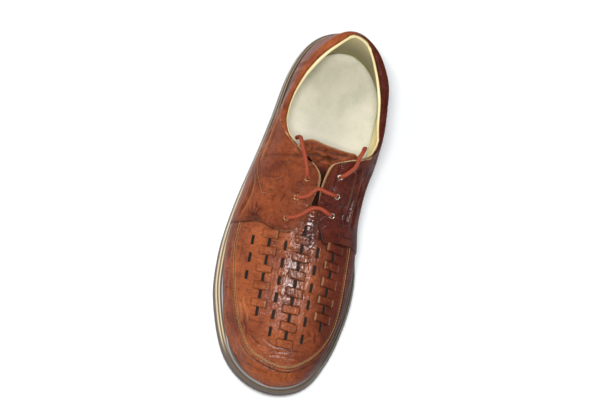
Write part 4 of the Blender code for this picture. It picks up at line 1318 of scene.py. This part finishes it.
# Inner line of the collar in plan, from the lateral facing round the heel to the medial facing
COLLAR_LINE = (
    (-24.6, 34.6), (-29.7, 38.8), (-32.9, 44.5), (-34.9, 52.2), (-35.5, 61.5), (-34.3, 74.2), (-32.1, 83.9),
    (-24.7, 102.0), (-15.0, 115.8), (-3.5, 127.8), (2.6, 132.2), (8.6, 131.4), (16.0, 124.7), (22.7, 113.4),
    (28.8, 100.6), (33.4, 86.9), (36.5, 68.0), (39.0, 49.7), (38.6, 39.8),
)
COLLAR_MIDDLE = (3.0, 84.0)
BEAD_RADIUS = 1.5


# Stations round the collar on each side, and points on its section and its bead
COLLAR_STATIONS = 150
ROLL_POINTS = 34
ROLL_THICKNESS = 0.6
BEAD_POINTS = 14
LATERAL_COLLAR_DYE = 0.1
UP = np.array((0.0, 0.0, 1.0))


def collar_line():
    """Stations round the rim, lateral facing over the heel to medial facing: y, u, side and start share."""
    legs = [stations(ROLL_ENDS[side][0], UPPER_HALF_LENGTH, COLLAR_STATIONS) for side in (-1, 1)]
    y = np.concatenate((legs[0], legs[1][-2::-1]))
    side = np.repeat((-1, 1), (COLLAR_STATIONS, COLLAR_STATIONS - 1))
    u = np.where(side < 0, rim_place(-1, y), rim_place(1, y))
    start = np.where(side < 0, ease(ROLL_ENDS[-1], y), ease(ROLL_ENDS[1], y))
    return y, u, side, start


def collar_inside(rim):
    """Level step from each rim place to the collar's inner line, along the ray to the opening's middle."""
    route = smooth_route(COLLAR_LINE, 300) - np.array(COLLAR_MIDDLE)
    turn = np.unwrap(np.arctan2(route[:, 0], -route[:, 1]))
    spoke = rim[:, :2] - np.array(COLLAR_MIDDLE)
    angle = np.unwrap(np.arctan2(spoke[:, 0], -spoke[:, 1]))
    angle = angle + 2.0 * math.pi * np.round((turn.mean() - angle.mean()) / (2.0 * math.pi))
    order = np.argsort(turn)
    reach = np.interp(angle, turn[order], np.linalg.norm(route, axis=1)[order])
    far = np.linalg.norm(spoke, axis=1)
    width = np.maximum(far - reach, ROLL_LEAST_WIDTH)
    window = np.hanning(15)
    width = np.convolve(np.pad(width, len(window) // 2, mode="edge"), window / window.sum(), mode="valid")
    return np.column_stack((-spoke / far[:, None], np.zeros(len(rim)))), width


def build_collar():
    """Padded collar and the lining's bead: their sections carried round the rim, lower where they start."""
    y, u, side, start = collar_line()
    rim = upper_skin(y, u)
    out = upper_normal(y, u)
    up = unit(np.cross(out, unit(np.gradient(rim, axis=0))))
    up = up * np.sign(up[:, 2:3])
    toward, width = collar_inside(rim)
    profile = smooth_route(ROLL_SECTION, ROLL_POINTS)
    over = ease((0.0, 0.3), profile[:, 1])[None, :, None]
    rise = up[:, None, :] * (1.0 - over) + UP * over
    proud = profile[None, :, 0:1] * (0.3 + 0.7 * start)[:, None, None] + 0.1
    points = (rim[:, None, :] + out[:, None, :] * proud
              + toward[:, None, :] * (profile[None, :, 1:2] * width[:, None, None])
              + rise * (profile[None, :, 2:3] * (0.2 + 0.8 * start)[:, None, None]))
    points = points + out[:, None, :] * (0.2 * swell(points, 20.0, 10, 21) * start[:, None])[..., None]
    across = np.linspace(0.0, 1.0, ROLL_POINTS)[None, :]
    # Deeper medial tone on the medial collar: partly real dye and partly painted shade
    dye = LATERAL_COLLAR_DYE + (1.0 - LATERAL_COLLAR_DYE) * (side > 0) * ease((0.0, 20.0), rim[:, 0])
    dye = dye[:, None] * np.ones_like(across)
    # Seam line at the roll's outer foot, painted shade where it turns down to the lining bead, and painted
    # shade on the medial side
    seams_and_painted_shade = np.maximum(0.9 * bell(across, 0.06) + 0.95 * ease((0.8, 0.88), across),
                        0.35 * dye * (dye > LATERAL_COLLAR_DYE))
    item = leather_piece("collar_roll", points, grid_quads(*points.shape[:2]), (CALF,),
                         {"seams_and_painted_shade": seams_and_painted_shade, "edge": 0.0 * seams_and_painted_shade, "medial": dye})
    thicken(item, ROLL_THICKNESS)
    turn = np.linspace(0.0, 2.0 * math.pi, BEAD_POINTS, endpoint=False)
    thick = BEAD_RADIUS * np.where(side < 0, 0.5 + 0.5 * ease((66.0, 112.0), y), 0.85) * (0.4 + 0.6 * start)
    middle = rim + toward * (width + 0.55 * thick)[:, None] - UP * (1.7 * start + 0.3)[:, None]
    ring = toward[:, None, :] * np.cos(turn)[None, :, None] + UP * np.sin(turn)[None, :, None]
    bead = middle[:, None, :] + thick[:, None, None] * ring
    bead = bead + toward[:, None, :] * (0.12 * swell(bead, 13.0, 8, 23))[..., None]
    bare = np.zeros(bead.shape[:2])
    item = leather_piece("lining_bead", bead, grid_quads(*bead.shape[:2], wrap=True), (CREAM_LINING,),
                         {"seams_and_painted_shade": bare, "edge": bare})
    face_out(item)


def face_out(item):
    """Turn every face outward and close open ends of a tube."""
    work = bmesh.new()
    work.from_mesh(item.data)
    bmesh.ops.holes_fill(work, edges=[e for e in work.edges if e.is_boundary], sides=0)
    bmesh.ops.recalc_face_normals(work, faces=work.faces)
    work.to_mesh(item.data)
    work.free()


# Tongue: grid, depth under the skin, thickness, half-width at its root and what each side gains, and its root
TONGUE_GRID = (90, 81)
TONGUE_DEPTH = 3.4
TONGUE_THICKNESS = 1.8
TONGUE_ROOT_HALF = 15.0
TONGUE_SPREAD = (9.0, 14.0)
TONGUE_ROOT = -21.0
TONGUE_TOP = 35.4
TONGUE_FOLD_POINTS = 20
TONGUE_CREASES = (
    (((-18.0, 24.0), (-8.0, 27.5), (4.0, 26.5), (14.0, 29.0)), 1.8, 0.9),
    (((-14.0, 31.0), (-4.0, 31.5), (8.0, 31.0), (22.0, 32.5)), 1.6, 0.7),
    (((-6.0, 21.0), (-1.0, 25.0), (6.0, 28.5)), 1.4, 0.8),
    (((6.0, 24.0), (2.0, 29.0), (0.0, 34.0)), 1.5, 0.6),
)


def build_tongue():
    """Tongue: a flap under the facings, wider and wavy at its top, folded, and painted dark with shade in the
    throat.
    """
    along = np.linspace(0.0, 1.0, TONGUE_GRID[0])[:, None]
    across = np.linspace(-1.0, 1.0, TONGUE_GRID[1])[None, :]
    spread = np.where(across < 0.0, *TONGUE_SPREAD)
    x = RIDGE_X + across * (TONGUE_ROOT_HALF + spread * ease((0.2, 0.9), along))
    top = TONGUE_TOP - 0.07 * x - 2.2 * np.abs(across) ** 6 + bell(x + 12.0, 7.0) + 1.2 * bell(x - 26.0, 6.0)
    y = TONGUE_ROOT + (top - TONGUE_ROOT) * along
    plan = np.stack((x, y), axis=-1)
    base = over_plan(plan, -TONGUE_DEPTH)
    folded, dark, _ = folds(base, TONGUE_CREASES, lambda path: over_plan(path, -TONGUE_DEPTH),
                            count=TONGUE_FOLD_POINTS)
    rim = ease((0.965, 1.0), along) * np.ones_like(x)
    relief = 0.22 * swell(base, 19.0, 12, 31) * ease((0.5, 0.8), along) + folded - 0.5 * rim ** 2
    # Painted shade: fold bottoms, the gap between the facings, and the deeper medial tone low in the throat
    seams_and_painted_shade = np.maximum(dark, 0.97 * ease((24.0, 13.0), y) * bell(x - RIDGE_X, 10.0))
    values = {"seams_and_painted_shade": seams_and_painted_shade, "edge": 0.5 * rim ** 4, "polish": 0.0 * x,
              "medial": 0.9 * ease((27.0, 16.0), y)}
    item = leather_piece("tongue_leather", over_plan(plan, relief - TONGUE_DEPTH), grid_quads(*x.shape),
                         (TONGUE_CALF, CUT_EDGE), values)
    thicken(item, TONGUE_THICKNESS, 1)
    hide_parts("tongue")


# Sock: grid, thickness, least rise that its edge is worked out from, gap to the lining, and heel cup
SOCK_GRID = (170, 61)
SOCK_THICKNESS = 3.0
SOCK_LEAST_RISE = 8.0
SOCK_GAP = 0.3
SOCK_LIP_HALF = 4.0
HEEL_CUP = 0.6
HEEL_CUP_SPOT = ((0.0, 98.0), (22.0, 30.0))
SOCK_DARKENING = 0.1
SOCK_DARKENING_SPOT = ((2.0, 84.0), (19.0, 24.0))


def build_insole():
    """Sock lining: flat middle that curls up at the wall, with a soft heel cup, and painted shade at its edge
    and heel.
    """
    y = stations(-UPPER_HALF_LENGTH, UPPER_HALF_LENGTH, SOCK_GRID[0])
    level = np.clip((SOCK_HEIGHT + SOCK_LIP) / np.maximum(section("rise", y), SOCK_LEAST_RISE), 0.0, 1.0)
    share = 1.0 - np.arcsin(level ** (CREST_SQUARENESS / 2.0)) / (math.pi / 2.0)
    feet = [upright(side, y, upper_skin(y, side * share)) for side in (-1, 1)]
    rim = np.vstack((feet[0], feet[1][-2:0:-1]))[:, :2]
    tangent = unit(np.roll(rim, -1, axis=0) - np.roll(rim, 1, axis=0))
    inward = np.stack((tangent[:, 1], -tangent[:, 0]), axis=-1)
    inward *= np.sign(np.sum(inward * -rim))
    edge = rim + inward * (LINING_DEPTH + LINING_THICKNESS + SOCK_GAP)
    lateral = edge[:len(y)]
    medial = np.vstack((edge[:1], edge[:len(y) - 1:-1], edge[len(y) - 1:len(y)]))
    across = np.linspace(-1.0, 1.0, SOCK_GRID[1])[None, :]
    middle = (lateral + medial) / 2.0
    half = (medial[:, 0:1] - lateral[:, 0:1]) / 2.0
    x = middle[:, 0:1] + across * half
    along = np.broadcast_to(middle[:, 1:2], x.shape)
    end = np.minimum(along - middle[0, 1], middle[-1, 1] - along)
    lip = np.minimum(half * (1.0 - np.abs(across)), end)
    z = sole_top(along) + GAP + SOCK_HEIGHT + SOCK_LIP * bell(lip, SOCK_LIP_HALF)
    z = z - HEEL_CUP * spot(x, along, *HEEL_CUP_SPOT)
    points = np.stack((x, along, z), axis=-1)
    points[..., 2] += 0.12 * swell(points, 28.0, 10, 41)
    # Painted shade along the edge against the wall and towards the heel; also darker at a spot in the heel
    # seat and on the lateral side
    shade = 0.5 * bell(lip, 1.2) + SOCK_DARKENING * spot(x, along, *SOCK_DARKENING_SPOT)
    shade += 0.22 * ease((84.0, 122.0), along) + 0.06 * ease((10.0, -25.0), x) * ease((60.0, 100.0), along)
    item = leather_piece("sock_lining", points, grid_quads(*x.shape), (SOCK_LEATHER,),
                         {"seams_and_painted_shade": shade, "edge": 0.0 * shade}, merge=0.02)
    thicken(item, SOCK_THICKNESS)
    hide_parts("insole")


# Eyelets in plan, and their turned section as radius and height
EYELETS = {
    "eyelet_lateral_top": (-9.0, 9.5),
    "eyelet_lateral_middle": (-13.5, -5.5),
    "eyelet_lateral_lower": (-17.5, -21.5),
    "eyelet_medial_top": (15.6, 16.0),
    "eyelet_medial_middle": (16.8, 2.0),
    "eyelet_medial_lower": (16.4, -12.5),
}
EYELET_SECTION = ((2.3, 0.35), (2.25, 0.65), (2.05, 0.85), (1.75, 0.85), (1.5, 0.65), (1.42, 0.2),
                  (1.42, -0.6), (1.75, -0.6), (1.8, 0.1), (2.3, 0.3))


# Points round an eyelet, and how deep it sits in the quarter
EYELET_POINTS = 40
EYELET_SINK = 0.2


def build_eyelet(name, place):
    """Rolled eyelet: a rounded section turned about the facing's normal."""
    y = np.float64(place[1])
    u = across_of(place[0], y)
    middle = over_upper(y, u, QUARTER_LIFT - EYELET_SINK)
    normal = upper_normal(y, u)
    first = unit(np.cross(normal, (0.0, 1.0, 0.0)))
    second = np.cross(normal, first)
    turn = np.linspace(0.0, 2.0 * math.pi, EYELET_POINTS, endpoint=False)
    spoke = np.cos(turn)[:, None] * first + np.sin(turn)[:, None] * second
    profile = np.array(EYELET_SECTION)
    points = middle + spoke[:, None, :] * profile[None, :, 0:1] + normal * profile[None, :, 1:2]
    ring = np.concatenate((points, points[:1]))
    item = leather_piece(name + "_ring", ring, grid_quads(len(ring), len(profile), wrap=True),
                         (WORN_NICKEL if place[0] < 0.0 else NICKEL,), merge=0.01)
    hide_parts(name)


# Lace routes: over the facings in plan, then free points down into the shoe
LACE_DIAMETER = 3.4
LACE_BARS = {
    "lace_bar_middle": ((-13.5, -5.5), (-9.9, -4.4), (-4.0, -1.2), (1.2, 4.2), (6.6, 3.6),
                        (12.8, 2.7), (16.8, 2.0)),
    "lace_bar_lower": ((-17.5, -21.5), (-13.9, -20.4), (-6.5, -16.4), (1.5, -10.0), (7.5, -9.6),
                       (12.7, -11.5), (16.4, -12.5)),
}
LACE_BAR_LIFTS = (-1.0, 2.1, 2.4, 2.4, 2.4, 2.1, -1.0)
LACE_ENDS = {
    "lace_end_lateral": (((-9.0, 9.5), (-9.6, 13.2), (-11.4, 18.5), (-14.4, 25.0)),
                         ((-18.2, 30.6, 92.6), (-20.4, 35.2, 92.4), (-21.6, 39.2, 86.8), (-22.8, 41.2, 79.5),
                          (-24.0, 42.4, 71.5))),
    "lace_end_medial": (((15.6, 16.0), (18.2, 18.6), (21.6, 22.6), (24.4, 27.0)),
                        ((26.4, 31.8, 91.5), (28.0, 37.0, 92.5), (29.4, 42.0, 87.0), (29.9, 44.8, 78.5),
                         (29.6, 46.5, 69.0))),
}
LACE_END_LIFTS = (-1.0, 2.1, 2.4, 2.4)


# Braid: strands, length of a strand's turn, spacing and count of points,
# share of the radius that strands ridge it by, and tip
BRAID_STRANDS = 8
BRAID_TURN = 9.0
BRAID_STEP = 0.42
BRAID_POINTS = 20
BRAID_RIDGE = 0.07
TIP_LENGTH = 0.9
BRAID_SIDE = np.array((0.31, 0.52, 0.79))


def build_lace(name, route):
    """Braided cord: a circle carried along a smooth route, ridged where strands cross, its tips rounded."""
    length = np.linalg.norm(np.diff(smooth_route(route, 400), axis=0), axis=1).sum()
    path = smooth_route(route, int(length / BRAID_STEP))
    way = unit(np.gradient(path, axis=0))
    first = unit(np.cross(way, BRAID_SIDE))
    second = np.cross(way, first)
    turn = np.linspace(0.0, 2.0 * math.pi, BRAID_POINTS, endpoint=False)
    travel = np.linspace(0.0, length, len(path))[:, None]
    twist = 2.0 * math.pi * travel / BRAID_TURN
    strand = np.maximum(*(np.cos(BRAID_STRANDS / 2.0 * (turn + hand * twist)) for hand in (1.0, -1.0)))
    radius = LACE_DIAMETER / 2.0 * (1.0 - BRAID_RIDGE + BRAID_RIDGE * strand)
    tip = np.minimum(travel, length - travel)
    radius = radius * np.sqrt(np.clip(tip / TIP_LENGTH, 0.02, 1.0))
    ring = np.cos(turn)[None, :, None] * first[:, None, :] + np.sin(turn)[None, :, None] * second[:, None, :]
    points = path[:, None, :] + ring * radius[..., None]
    item = leather_piece(name + "_lace", points, grid_quads(*points.shape[:2], wrap=True), (LACE_COTTON,),
                         {"strand": strand * 0.5 + 0.3})
    face_out(item)
    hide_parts(name)
    return item, path, length


def build_laces():
    """Lace bars through the eyelets, and the two loose ends that drop into the shoe."""
    for name, plan in LACE_BARS.items():
        build_lace(name, over_plan(plan, LACE_BAR_LIFTS))
    for name, (plan, free) in LACE_ENDS.items():
        item, path, length = build_lace(name, np.vstack((over_plan(plan, LACE_END_LIFTS), free)))


# Sole side from the ground edge up to the ledge: share of the height, distance in from the outline
SOLE_PROFILE = ((0.00, 4.2), (0.02, 3.0), (0.07, 1.3), (0.14, 0.4), (0.22, 0.0), (0.35, 0.1), (0.45, 0.5),
                (0.49, 1.5), (0.53, 1.7), (0.57, 0.8), (0.64, 0.5), (0.72, 0.6), (0.80, 1.1), (0.86, 1.9),
                (0.90, 2.8), (0.93, 3.8), (0.955, 4.8), (0.975, 5.8), (0.98, 6.6), (0.98, 8.5))
RIB_GROOVES = (0.75, 2.55, 4.35)
RIB_GROOVE_START = 0.56
LIP_INSET = 5.3
RIB_TOE_FADE = (-132.0, -112.0)
RIB_HEEL_FADE = (65.0, 10.0)
# Share of the rib crowns' painted highlight kept on the shaded medial side, and painted shade added there
MEDIAL_PAINTED_HIGHLIGHT = 0.15
MEDIAL_SHADE = 0.45


# Rings of the sole: stations round each, tread and its end, side, and ledge and its start
SOLE_STATIONS = 330
TREAD_RINGS = 36
TREAD_END = 4.6
SIDE_RINGS = 104
LEDGE_RINGS = 8
LEDGE_START = 10.0

# Ribs of the side: half-widths, height and depth of crowns and grooves, and what is left of them at the toe
GROOVE_HALF = 0.4
GROOVE_DEPTH = 0.9
CROWN_PLACE = 0.9
CROWN_HALF = 0.55
CROWN_HEIGHT = 0.25
TOE_RIB = 0.12

# Lip over the ribs: half-width and painted bluish-white highlight, each with what it loses round the toe's
# end, height, and its shift outward there
LIP_HALF = (0.4, 0.14)
LIP_HEIGHT = 0.3
LIP_PAINTED_HIGHLIGHT = (0.8, 0.3)
LIP_TOE_SHIFT = 1.1
LIP_TOE_SPAN = (-112.0, -136.0)

# Painted shade of the sole: the side's groove as share of the height, half-width and dark, then the welt,
# the most dark, the share of painted highlight on the rib crowns left at the heel, and where the shaded
# medial side and its hidden part lie
SIDE_GROOVE = (0.51, 0.03, 0.8)
WELT_SHADE = 0.6
DARKEST = 0.9
HEEL_PAINTED_HIGHLIGHT = 0.35
INNER_SIDE = ((-138.0, -115.0), (150.0, 110.0))
HIDDEN_SHADE = 0.35
HIDDEN_SIDE = ((-118.0, -96.0), (10.0, -15.0))

# Tread lines: pitch, bow, depth and shade, and where they start from the edge
TREAD_PITCH = 8.5
TREAD_BOW = 0.0022
TREAD_DEPTH = 1.1
TREAD_SHADE = 0.6
TREAD_CUT = (0.55, 0.85)
TREAD_MARGIN = (6.5, 9.0)


def build_sole():
    """Unit sole: the outline's rings from the tread over the ribbed side to the ledge under the upper.

    A ring's height is a share of the way from underside to top. Bells over the inset add grooves, crowns and
    lip to the side, and a cosine along the shoe cuts bowed lines in the tread.
    """
    y = -SOLE_HALF_LENGTH * np.cos(np.linspace(0.0, math.pi, SOLE_STATIONS))[None, :]
    tread = np.linspace(RING_REFERENCE_WIDTH, TREAD_END, TREAD_RINGS)
    wall = smooth_profile(np.array(SOLE_PROFILE), SIDE_RINGS)
    ledge = np.linspace(LEDGE_START, RING_REFERENCE_WIDTH, LEDGE_RINGS)
    inset = np.concatenate((tread, wall[:, 1], ledge))[:, None]
    height = np.concatenate((np.zeros(TREAD_RINGS), wall[:, 0], np.ones(LEDGE_RINGS)))[:, None]
    kind = np.repeat((0, 1, 2), (TREAD_RINGS, SIDE_RINGS, LEDGE_RINGS))[:, None]
    ribbed = ((kind == 1) & (height > RIB_GROOVE_START)).astype(float)
    toe_fade = TOE_RIB + (1.0 - TOE_RIB) * ease(RIB_TOE_FADE, y)
    toe_end = ease(LIP_TOE_SPAN, y)
    heel_fade = ease(RIB_HEEL_FADE, y)
    groove = ribbed * sum(bell(inset - place, GROOVE_HALF) for place in RIB_GROOVES)
    crown = ribbed * sum(bell(inset - place - CROWN_PLACE, CROWN_HALF) for place in RIB_GROOVES[:-1])
    lip = ribbed * bell(inset - LIP_INSET + LIP_TOE_SHIFT * toe_end, LIP_HALF[0] - LIP_HALF[1] * toe_end)
    welt = ribbed * ease((LIP_INSET + 0.5, LIP_INSET + 1.0), inset)
    lateral, medial, along = sole_ring(y, inset)
    under = sole_under(along)
    z = under + (sole_top(along) - under) * height + LIP_HEIGHT * lip
    z = z + (CROWN_HEIGHT * crown - GROOVE_DEPTH * groove) * toe_fade
    # Painted shade in the grooves, the side's groove and the welt
    side_groove = (kind == 1) * SIDE_GROOVE[2] * bell(height - SIDE_GROOVE[0], SIDE_GROOVE[1])
    shade = np.clip(groove * toe_fade + side_groove + WELT_SHADE * welt, 0.0, DARKEST)
    # Painted highlight: pale rib crowns, less towards the heel
    painted_highlight = np.clip(crown * toe_fade * (HEEL_PAINTED_HIGHLIGHT + (1.0 - HEEL_PAINTED_HIGHLIGHT) * heel_fade), 0.0, 1.0)
    # Painted bluish-white highlight on the lip, which also sets its coat, fading at the toe's end and towards
    # the heel
    lip_painted_highlight = (LIP_PAINTED_HIGHLIGHT[0] - LIP_PAINTED_HIGHLIGHT[1] * toe_end) * lip * heel_fade
    # Painted shade on the shaded medial side and its hidden part, where less painted highlight is kept
    inner_side = ease(INNER_SIDE[0], y) * ease(INNER_SIDE[1], y)
    hidden = HIDDEN_SHADE * ease(HIDDEN_SIDE[0], y) * ease(HIDDEN_SIDE[1], y)
    medial_shade = np.clip(shade + (MEDIAL_SHADE + hidden) * inner_side, 0.0, DARKEST)
    medial_painted_highlight = painted_highlight * (1.0 - (1.0 - MEDIAL_PAINTED_HIGHLIGHT) * inner_side)
    halves = ((lateral, medial), (along, along), (z, z), (shade, medial_shade), (painted_highlight, medial_painted_highlight),
              (lip_painted_highlight, lip_painted_highlight * (1.0 - inner_side)))
    x, along, z, shade, painted_highlight, lip_painted_highlight = (np.hstack((one, other[:, -2:0:-1])) for one, other in halves)
    lines = np.cos(2.0 * math.pi * (along + TREAD_BOW * x ** 2) / TREAD_PITCH)
    cut = (kind == 0) * ease(TREAD_MARGIN, inset) * ease(TREAD_CUT, lines)
    # Painted shade in the tread's cut lines
    shade = np.where(kind == 0, TREAD_SHADE * cut, shade)
    points = np.stack((x, along, z + TREAD_DEPTH * cut), axis=-1)
    item = leather_piece("unit_sole", points, grid_quads(*x.shape, wrap=True)[:, ::-1], (RUBBER,),
                         {"seams_and_painted_shade": shade, "edge": painted_highlight, "polish": lip_painted_highlight}, merge=0.02)
    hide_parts("outsole")


# Height of the side that the sole's profile is spaced on
SIDE_HEIGHT = 20.0


def smooth_profile(table, count):
    """Close points on a table's straight runs, even by distance in millimetres on the sole's side."""
    scaled = table * np.array((SIDE_HEIGHT, 1.0))
    travel = np.append(0.0, np.cumsum(np.linalg.norm(np.diff(scaled, axis=0), axis=1)))
    at = np.linspace(0.0, travel[-1], count)
    return np.stack([np.interp(at, travel, table[:, k]) for k in range(2)], axis=-1)


STITCH_SECTION = ((-1.0, 0.25), (-0.6, 0.9), (0.0, 1.0), (0.6, 0.9), (1.0, 0.25))
BAR_TACK = ((-44.0, -24.6), (-35.6, -24.4))


# Pitch, length and width of each kind of stitch
APRON_STITCH = (2.4, 2.3, 0.6)
GUSSET_STITCH = (2.1, 1.95, 0.45)
QUARTER_STITCH = (2.1, 1.7, 0.42)
TACK_STITCH = (1.1, 1.0, 0.8)
STITCH_SIDES = 6
STITCH_AHEAD = 0.5

# Line inside the shoe that stitches face away from
STITCH_AXIS = (RIDGE_X, 0.0, 20.0)


def build_stitches(name, route, stitch, material):
    """Row of stitches: a short six-sided spindle at each pitch along a route on the skin."""
    pitch, length, width = stitch
    travel = np.append(0.0, np.cumsum(np.linalg.norm(np.diff(route, axis=0), axis=1)))
    at = np.arange(pitch, travel[-1] - pitch, pitch)
    middle, ahead = (np.stack([np.interp(place, travel, route[:, k]) for k in range(3)], axis=-1)
                     for place in (at, at + STITCH_AHEAD))
    way = unit(ahead - middle)
    outward = unit((middle - STITCH_AXIS) * (1.0, 0.0, 1.0))
    aside = unit(np.cross(way, outward))
    outward = np.cross(aside, way)
    spindle = np.array(STITCH_SECTION)
    turn = np.linspace(0.0, 2.0 * math.pi, STITCH_SIDES, endpoint=False)
    ring = np.cos(turn)[None, :, None] * aside[:, None, :] + np.sin(turn)[None, :, None] * outward[:, None, :]
    reach, thick = (spindle[None, :, k, None, None] * full / 2.0 for k, full in enumerate((length, width)))
    points = middle[:, None, None, :] + way[:, None, None, :] * reach + ring[:, None, :, :] * thick
    size = len(spindle) * STITCH_SIDES
    quads = grid_quads(len(spindle), STITCH_SIDES, wrap=True)
    faces = (quads[None] + size * np.arange(len(at))[:, None, None]).reshape(-1, 4)
    item = leather_piece(name, points, faces, (material,), {"strand": np.full(len(at) * size, 0.5)})
    face_out(item)


# Stitch line of a quarter: share of the wall where it starts, wall's length,
# last place, and height on the leather
STITCH_FOOT = 0.12
WALL_LENGTH = 78.0
STITCH_END = 33.0
STITCH_LIFT = 0.12


def quarter_stitch_line(side, inset):
    """Line inside a quarter's edge: along its front from the wall's foot, then along the facing."""
    share = np.linspace(STITCH_FOOT, 1.0 - inset / WALL_LENGTH, 220)
    front = front_y(side, share) + inset
    along = np.linspace(front[-1] + 0.5, STITCH_END, 60)
    y = np.concatenate((front, along))
    part = np.concatenate((share, np.full(len(along), share[-1])))
    return over_upper(y, side * (1.0 - part * top_share(side, y)), quarter_lift(1.0 - part) + STITCH_LIFT)


# First stitched point of each gusset seam, its thread, and heights of the rows on the skin
GUSSET_FIRST = {-1: 3, 1: 2}
GUSSET_THREAD = {-1: TAN_THREAD, 1: DARK_THREAD}
GUSSET_LIFT = 0.25
TACK_LIFT = 0.55
QUARTER_STITCH_INSET = 2.0


def build_seams():
    """Thread of the apron seam, the gussets, the bar tack and the quarters' edges."""
    build_stitches("apron_thread", over_plan(smooth_route(APRON_SEAM, 400), 0.0), APRON_STITCH, TAN_THREAD)
    for side, word in ((-1, "lateral"), (1, "medial")):
        seam = polyline(GUSSET_SEAMS[side][GUSSET_FIRST[side]:], 200)
        build_stitches("gusset_thread_" + word, over_upper(seam[:, 0], side * seam[:, 1], GUSSET_LIFT),
                       GUSSET_STITCH, GUSSET_THREAD[side])
        build_stitches("quarter_thread_" + word, quarter_stitch_line(side, QUARTER_STITCH_INSET),
                       QUARTER_STITCH, DARK_THREAD)
    build_stitches("bar_tack", over_plan(smooth_route(BAR_TACK, 60), TACK_LIFT), TACK_STITCH, DARK_THREAD)


# Camera: the photograph's angle to the shoe, from above the toe and the lateral side
CAMERA_PLACE = (-86.8, -549.5, 2240.1)
CAMERA_AIM = (-4.0, 0.0, 40.0)
CAMERA_UP = (-0.23398, 0.94576, 0.22536)
FOCAL_PIXELS = 2871.0
IMAGE_WIDTH = 612.0
SENSOR_WIDTH = 36.0


def build_camera():
    """Camera at the photograph's distance and roll, aimed at the shoe's middle."""
    place = Vector(to_world(CAMERA_PLACE))
    back = (place - Vector(to_world(CAMERA_AIM))).normalized()
    right = Vector(CAMERA_UP).cross(back).normalized()
    up = back.cross(right)
    lens = bpy.data.cameras.new("camera")
    lens.sensor_width = SENSOR_WIDTH
    lens.lens = FOCAL_PIXELS * SENSOR_WIDTH / IMAGE_WIDTH
    lens.clip_end = 20.0
    camera = bpy.data.objects.new("camera", lens)
    camera.matrix_world = Matrix((right, up, back)).transposed().to_4x4()
    camera.location = place
    bpy.context.scene.collection.objects.link(camera)
    bpy.context.scene.camera = camera


def build_light(name, place, size, power, colour):
    """Square soft box at a place, turned to the shoe, in metres and watts."""
    lamp = bpy.data.lights.new(name, "AREA")
    lamp.shape = "SQUARE"
    lamp.size = size
    lamp.energy = power
    lamp.color = colour
    item = bpy.data.objects.new(name, lamp)
    item.location = place
    item.rotation_euler = (Vector(place) - Vector(LIGHT_AIM)).to_track_quat("Z", "Y").to_euler()
    bpy.context.scene.collection.objects.link(item)


# Soft boxes: name, place and size in metres, watts and colour, all turned to one aim
LIGHT_AIM = (0.0, 0.0, 0.05)
LIGHTS = (
    ("lateral_box", (-1.6, 0.4, 1.2), 1.0, 17.0, (1.0, 0.97, 0.92)),
    ("medial_strip", (1.3, 0.1, 0.87), 0.5, 2.2, (0.94, 0.95, 1.0)),
    ("overhead_box", (-0.08, -0.40, 2.0), 0.5, 36.0, (0.96, 0.98, 1.0)),
)
FLOOR_HALF = 6.0
SURROUND_STRENGTH = 0.26


def build_stage():
    """Pale floor, white surround and soft boxes: a strong one overhead, one lateral, a weak one medial."""
    corners = [(FLOOR_HALF * x, FLOOR_HALF * y, 0.0) for x, y in ((-1, -1), (1, -1), (1, 1), (-1, 1))]
    mesh = bpy.data.meshes.new("floor")
    mesh.from_pydata(corners, [], [(0, 1, 2, 3)])
    material, tree, shader, mm = start_material("matt_white_paper")
    fibre = add(tree, "ShaderNodeTexNoise", {"Scale": 1 / 40.0, "Detail": 3.0}, {"Vector": mm})
    tone = add(tree, "ShaderNodeValToRGB", links={"Fac": fibre.outputs["Fac"]},
               ramp=((0.0, linear("#f8f8f8")), (1.0, linear("#ffffff"))))
    tree.links.new(tone.outputs["Color"], shader.inputs["Base Color"])
    shader.inputs["Roughness"].default_value = 0.9
    mesh.materials.append(material)
    floor = bpy.data.objects.new("floor", mesh)
    bpy.context.scene.collection.objects.link(floor)
    world = bpy.data.worlds.new("studio")
    world.use_nodes = True
    background = world.node_tree.nodes["Background"]
    background.inputs["Color"].default_value = PLAIN
    background.inputs["Strength"].default_value = SURROUND_STRENGTH
    bpy.context.scene.world = world
    for light in LIGHTS:
        build_light(*light)
    bpy.context.scene.view_settings.view_transform = "Standard"


build_camera()
build_laces()
build_vamp()
build_strips()
for quarter_side in (-1, 1):
    build_quarter(quarter_side)
build_lining()
build_collar()
build_tongue()
build_insole()
for eyelet_name, eyelet_place in EYELETS.items():
    build_eyelet(eyelet_name, eyelet_place)
build_sole()
build_seams()
build_stage()
